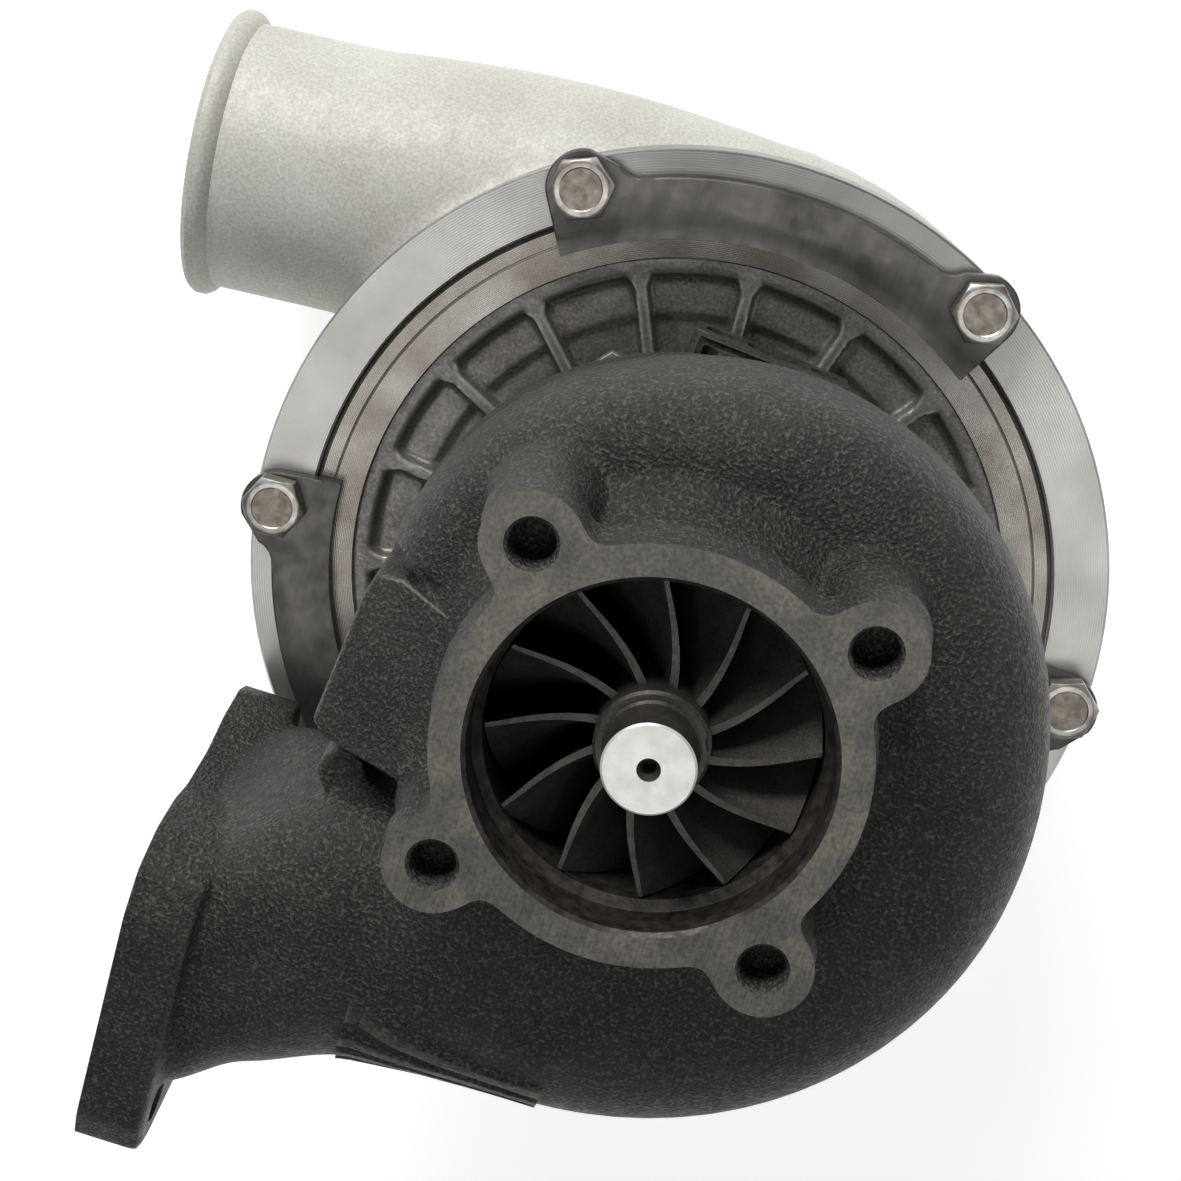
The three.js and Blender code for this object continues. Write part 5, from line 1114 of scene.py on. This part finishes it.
def compressor_wheel():
    line = shroud(0, 40)

    def tip(share):
        place = share * (len(line) - 1)
        index = min(int(place), len(line) - 2)
        return [lerp(a, b, place - index) for a, b in zip(line[index], line[index + 1])]

    def surface_to(start, end):
        def surface(along, across):
            share = lerp(start, end, along)
            hub_radius, hub_level = compressor_hub(share)
            tip_radius, tip_level = tip(share)
            angle = 34 * (1 - share) ** 2 - 42 * share ** 2
            return (lerp(hub_radius - 0.8, tip_radius, across),
                    lerp(hub_level + 0.5 * (1 - share), tip_level, across), math.radians(angle))
        return surface

    wheel = lathe([(0, IMPELLER_BACK), (IMPELLER_RADIUS, IMPELLER_BACK)]
                  + [compressor_hub(i / 24) for i in range(25)]
                  + [(IMPELLER_HUB, -IMPELLER_NOSE + 1), (IMPELLER_HUB - 1, -IMPELLER_NOSE),
                     (0, -IMPELLER_NOSE)], 96)
    for i in range(IMPELLER_BLADES):
        vane = blade(surface_to(0, SPLITTER_SHARE if i % 2 else 1), IMPELLER_BLADE_THICKNESS)
        fuse(wheel, spun(vane, math.tau * i / IMPELLER_BLADES))
    cut(wheel, bar(SHAFT_HOLE, -IMPELLER_NOSE - 2, IMPELLER_BACK + 2))
    return finish_piece(wheel, "compressor_wheel_milling", "rotor", [MILLED],
                        replaces=["compressor_wheel"], sharp=40)


def shaft_nut():
    low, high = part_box("compressor_nut")
    bottom, top = (low.z - ORIGIN.z) / MM, (high.z - ORIGIN.z) / MM
    nut = moved(hexagon(-top, -bottom), Matrix.Rotation(math.pi, 4, "X"))
    cut(nut, bar(SHAFT_HOLE, bottom - 2, top + 2))
    return finish_piece(nut, "shaft_nut", "rotor", [BRIGHT],
                        replaces=["compressor_nut"], sharp=25)


# ================================================================== centre housing
def port_block(width, height, corner, near, far, level):
    """A rounded block along Y at a port's height."""
    outline = []
    for i, (sx, sy) in enumerate(((1, 1), (-1, 1), (-1, -1), (1, -1))):
        middle = Vector((sx * (width / 2 - corner), sy * (height / 2 - corner)))
        outline += [middle + polar(corner, math.radians(90 * i + 15 * k)).to_2d() for k in range(7)]
    return laid(prism(outline, near, far), 0, level)


def port_bore(radius, near, far, x, level):
    return laid(bar(radius, near, far), x, level)


def bearing_housing():
    core = lathe([(0, -2), (FOOT_RADIUS, -2), (FOOT_RADIUS, FOOT_THICKNESS), (29, FOOT_THICKNESS),
                  (CENTRE_WAIST, FOOT_THICKNESS + 4), (CENTRE_WAIST, CENTRE_LENGTH - 6),
                  (38, CENTRE_LENGTH), (TURBINE_FOOT_RADIUS, CENTRE_LENGTH),
                  (TURBINE_FOOT_RADIUS, CENTRE_LENGTH + TURBINE_FOOT_THICKNESS),
                  (28, CENTRE_LENGTH + TURBINE_FOOT_THICKNESS),
                  (20, CENTRE_LENGTH + 13.4), (0, CENTRE_LENGTH + 13.4)])
    width, height = INLET_PAD
    drain_width, drain_height = DRAIN_PAD
    body = cast(gather(
        core, port_block(width, height, 3, INLET_REACH - 14, INLET_REACH + 2, INLET_LEVEL),
        port_block(width - 10, height - 3, 3, 0, INLET_REACH - 4, INLET_LEVEL),
        port_block(drain_width, drain_height, 5, -DRAIN_REACH - 2, -DRAIN_REACH + 9, DRAIN_LEVEL),
        port_block(drain_width - 24, drain_height - 2, 5, -DRAIN_REACH + 4, 0, DRAIN_LEVEL)),
        voxel=0.75, passes=3)
    top = INLET_LEVEL + height / 2
    pockets = [cuboid((-width / 2 + 1.1, INLET_REACH - 13, top - 0.7),
                      (width / 2 - 1.1, INLET_REACH - 1.1, top + 3)),
               cuboid((-15.2, INLET_REACH - 12.5, top - 8), (-11.6, INLET_REACH - 2.7, top + 1)),
               cuboid((-8.2, INLET_REACH - 12.5, top - 5), (8.6, INLET_REACH - 3.0, top + 1)),
               bar(1.6, top - 7, top + 1, 12.8, INLET_REACH - 4.2)]
    pockets = [bevelled(pocket, 0.6, 3) for pocket in pockets[:3]] + pockets[3:]
    bore = lathe([(0, -4), (THRUST_BORE, -4), (THRUST_BORE, 7.7), (BEARING_BORE, 7.7),
                  (BEARING_BORE, 46.4), (9.3, 46.4), (9.3, 60), (0, 60)])
    faces = [cuboid((-60, -60, -6), (60, 60, 0)),
             cuboid((-40, INLET_REACH, -10), (40, INLET_REACH + 8, 40)),
             cuboid((-40, -DRAIN_REACH - 8, 0), (40, -DRAIN_REACH, 45))]
    cut(body, *pockets, bore, *faces,
        port_block(12, 7, 3, INLET_REACH - 5, INLET_REACH + 3, INLET_LEVEL),
        port_bore(8, -DRAIN_REACH - 3, -10, 0, DRAIN_LEVEL))
    for side in (-1, 1):
        cut(body, port_bore(3.4, INLET_REACH - 9, INLET_REACH + 3, side * 12.5, INLET_LEVEL),
            port_bore(3.4, -DRAIN_REACH - 3, -DRAIN_REACH + 9, side * 21, DRAIN_LEVEL))
    spun(body, CENTRE_CLOCKING)

    def choose(centre, normal):
        flat = abs(normal.y) > 0.99 and (centre.y > INLET_REACH - 4 or centre.y < -DRAIN_REACH + 4)
        return 1 if flat else 0

    return finish_piece(body, "bearing_casting", "housing",
                        [CENTRE_IRON, MILLED_IRON], choose, ["bearing_housing"], sharp=36)


# ================================================================== pieces that keep their CAD shape
def paint(material, *nodes):
    for node in nodes:
        for slot in frame["nodes"][node].material_slots:
            slot.material = material


# ================================================================== build
IRON, MILLED_IRON, BORE_IRON = sand_cast_iron(), milled_iron(), bore_iron()
CENTRE_IRON = centre_iron()
ALUMINIUM, TURNED, MILLED = cast_aluminium(), turned_aluminium(), milled_aluminium()
BACKPLATE, LAND = backplate_casting(), land_alloy()
OXIDE, BRIGHT, DISHED = oxide_steel(), bright_steel(), dished_steel()
NOSE_FACE, WHEEL, GROUND_STEEL = nose_face(), wheel_alloy(), ground_steel()

compressor_cover()
backplate()
for number in (1, 2, 3):
    clamp_plate(f"compressor_clamp_plate_{number}")
turbine_plate("turbine_clamp_plate_1", 0)
turbine_plate("turbine_clamp_plate_2", math.pi)
bolts("compressor_bolt", 6, 15, True, COVER_BOLT_TURNS)
bolts("backplate_bolt", 4, 12, True, [10, 40, 25, 5])
bolts("turbine_bolt", 6, 10, False, [12, 33, 50, 7])
bearing_housing()
turbine_housing()
turbine_wheel()
compressor_wheel()
shaft_nut()

paint(bronze(), "thrust_bearing", "journal_bearing_compressor", "journal_bearing_turbine")
paint(black_rubber(), "backplate_o_ring", "centre_o_ring")
paint(ground_steel("shaft_steel"), "rotor_shaft", "thrust_collar", "oil_sleeve", "oil_baffle",
      "turbine_piston_ring", "compressor_piston_ring", *[f"bearing_retaining_ring_{i}" for i in (1, 2, 3, 4)])
paint(ground_steel("shield_steel", (0.34, 0.31, 0.28)), "heat_shield")


# ================================================================== floor, light and camera
def floor():
    bm = bmesh.new()
    half = 3.0
    bm.faces.new([bm.verts.new((x * half, y * half, 0)) for x, y in ((-1, -1), (1, -1), (1, 1), (-1, 1))])
    made = as_object(bm, "floor")
    made.location.z = -0.0002
    made.data.materials.append(pale_floor())


def softbox(name, place, size, power, target=(0, 0, 0.12)):
    light = bpy.data.lights.new(name, "AREA")
    light.shape = "RECTANGLE"
    light.size, light.size_y = size
    light.energy = power
    made = bpy.data.objects.new(name, light)
    made.location = place
    made.rotation_euler = (Vector(target) - Vector(place)).to_track_quat("-Z", "Y").to_euler()
    bpy.context.scene.collection.objects.link(made)


def camera():
    """The photograph's view: down the shaft from the turbine end, from the oil inlet's side."""
    tilt = (Matrix.Rotation(CAMERA_PITCH, 3, "X") @ Matrix.Rotation(CAMERA_YAW, 3, "Y")
            @ Matrix.Rotation(CAMERA_ROLL, 3, "Z"))
    back = tilt.transposed()
    data = bpy.data.cameras.new("camera")
    data.lens = CAMERA_LENS
    data.clip_start = 0.01
    made = bpy.data.objects.new("camera", data)
    made.matrix_world = Matrix.Translation(TO_FRAME @ (back @ Vector(CAMERA_OFFSET))) @ back.to_4x4()
    bpy.context.scene.collection.objects.link(made)
    bpy.context.scene.camera = made


floor()
camera()
softbox("top_left_light", (-0.6, 1.15, 0.85), (0.8, 0.45), 17)
softbox("overhead_light", (0.05, -0.2, 1.6), (1.0, 0.7), 5)
softbox("right_fill", (1.1, 0.1, 0.7), (0.6, 0.6), 1.0)
world = bpy.data.worlds.new("studio")
bpy.context.scene.world = world
world.use_nodes = True
world.node_tree.nodes["Background"].inputs["Color"].default_value = (0.95, 0.97, 1.0, 1)
world.node_tree.nodes["Background"].inputs["Strength"].default_value = 0.2
bpy.context.scene.view_settings.view_transform = "Standard"
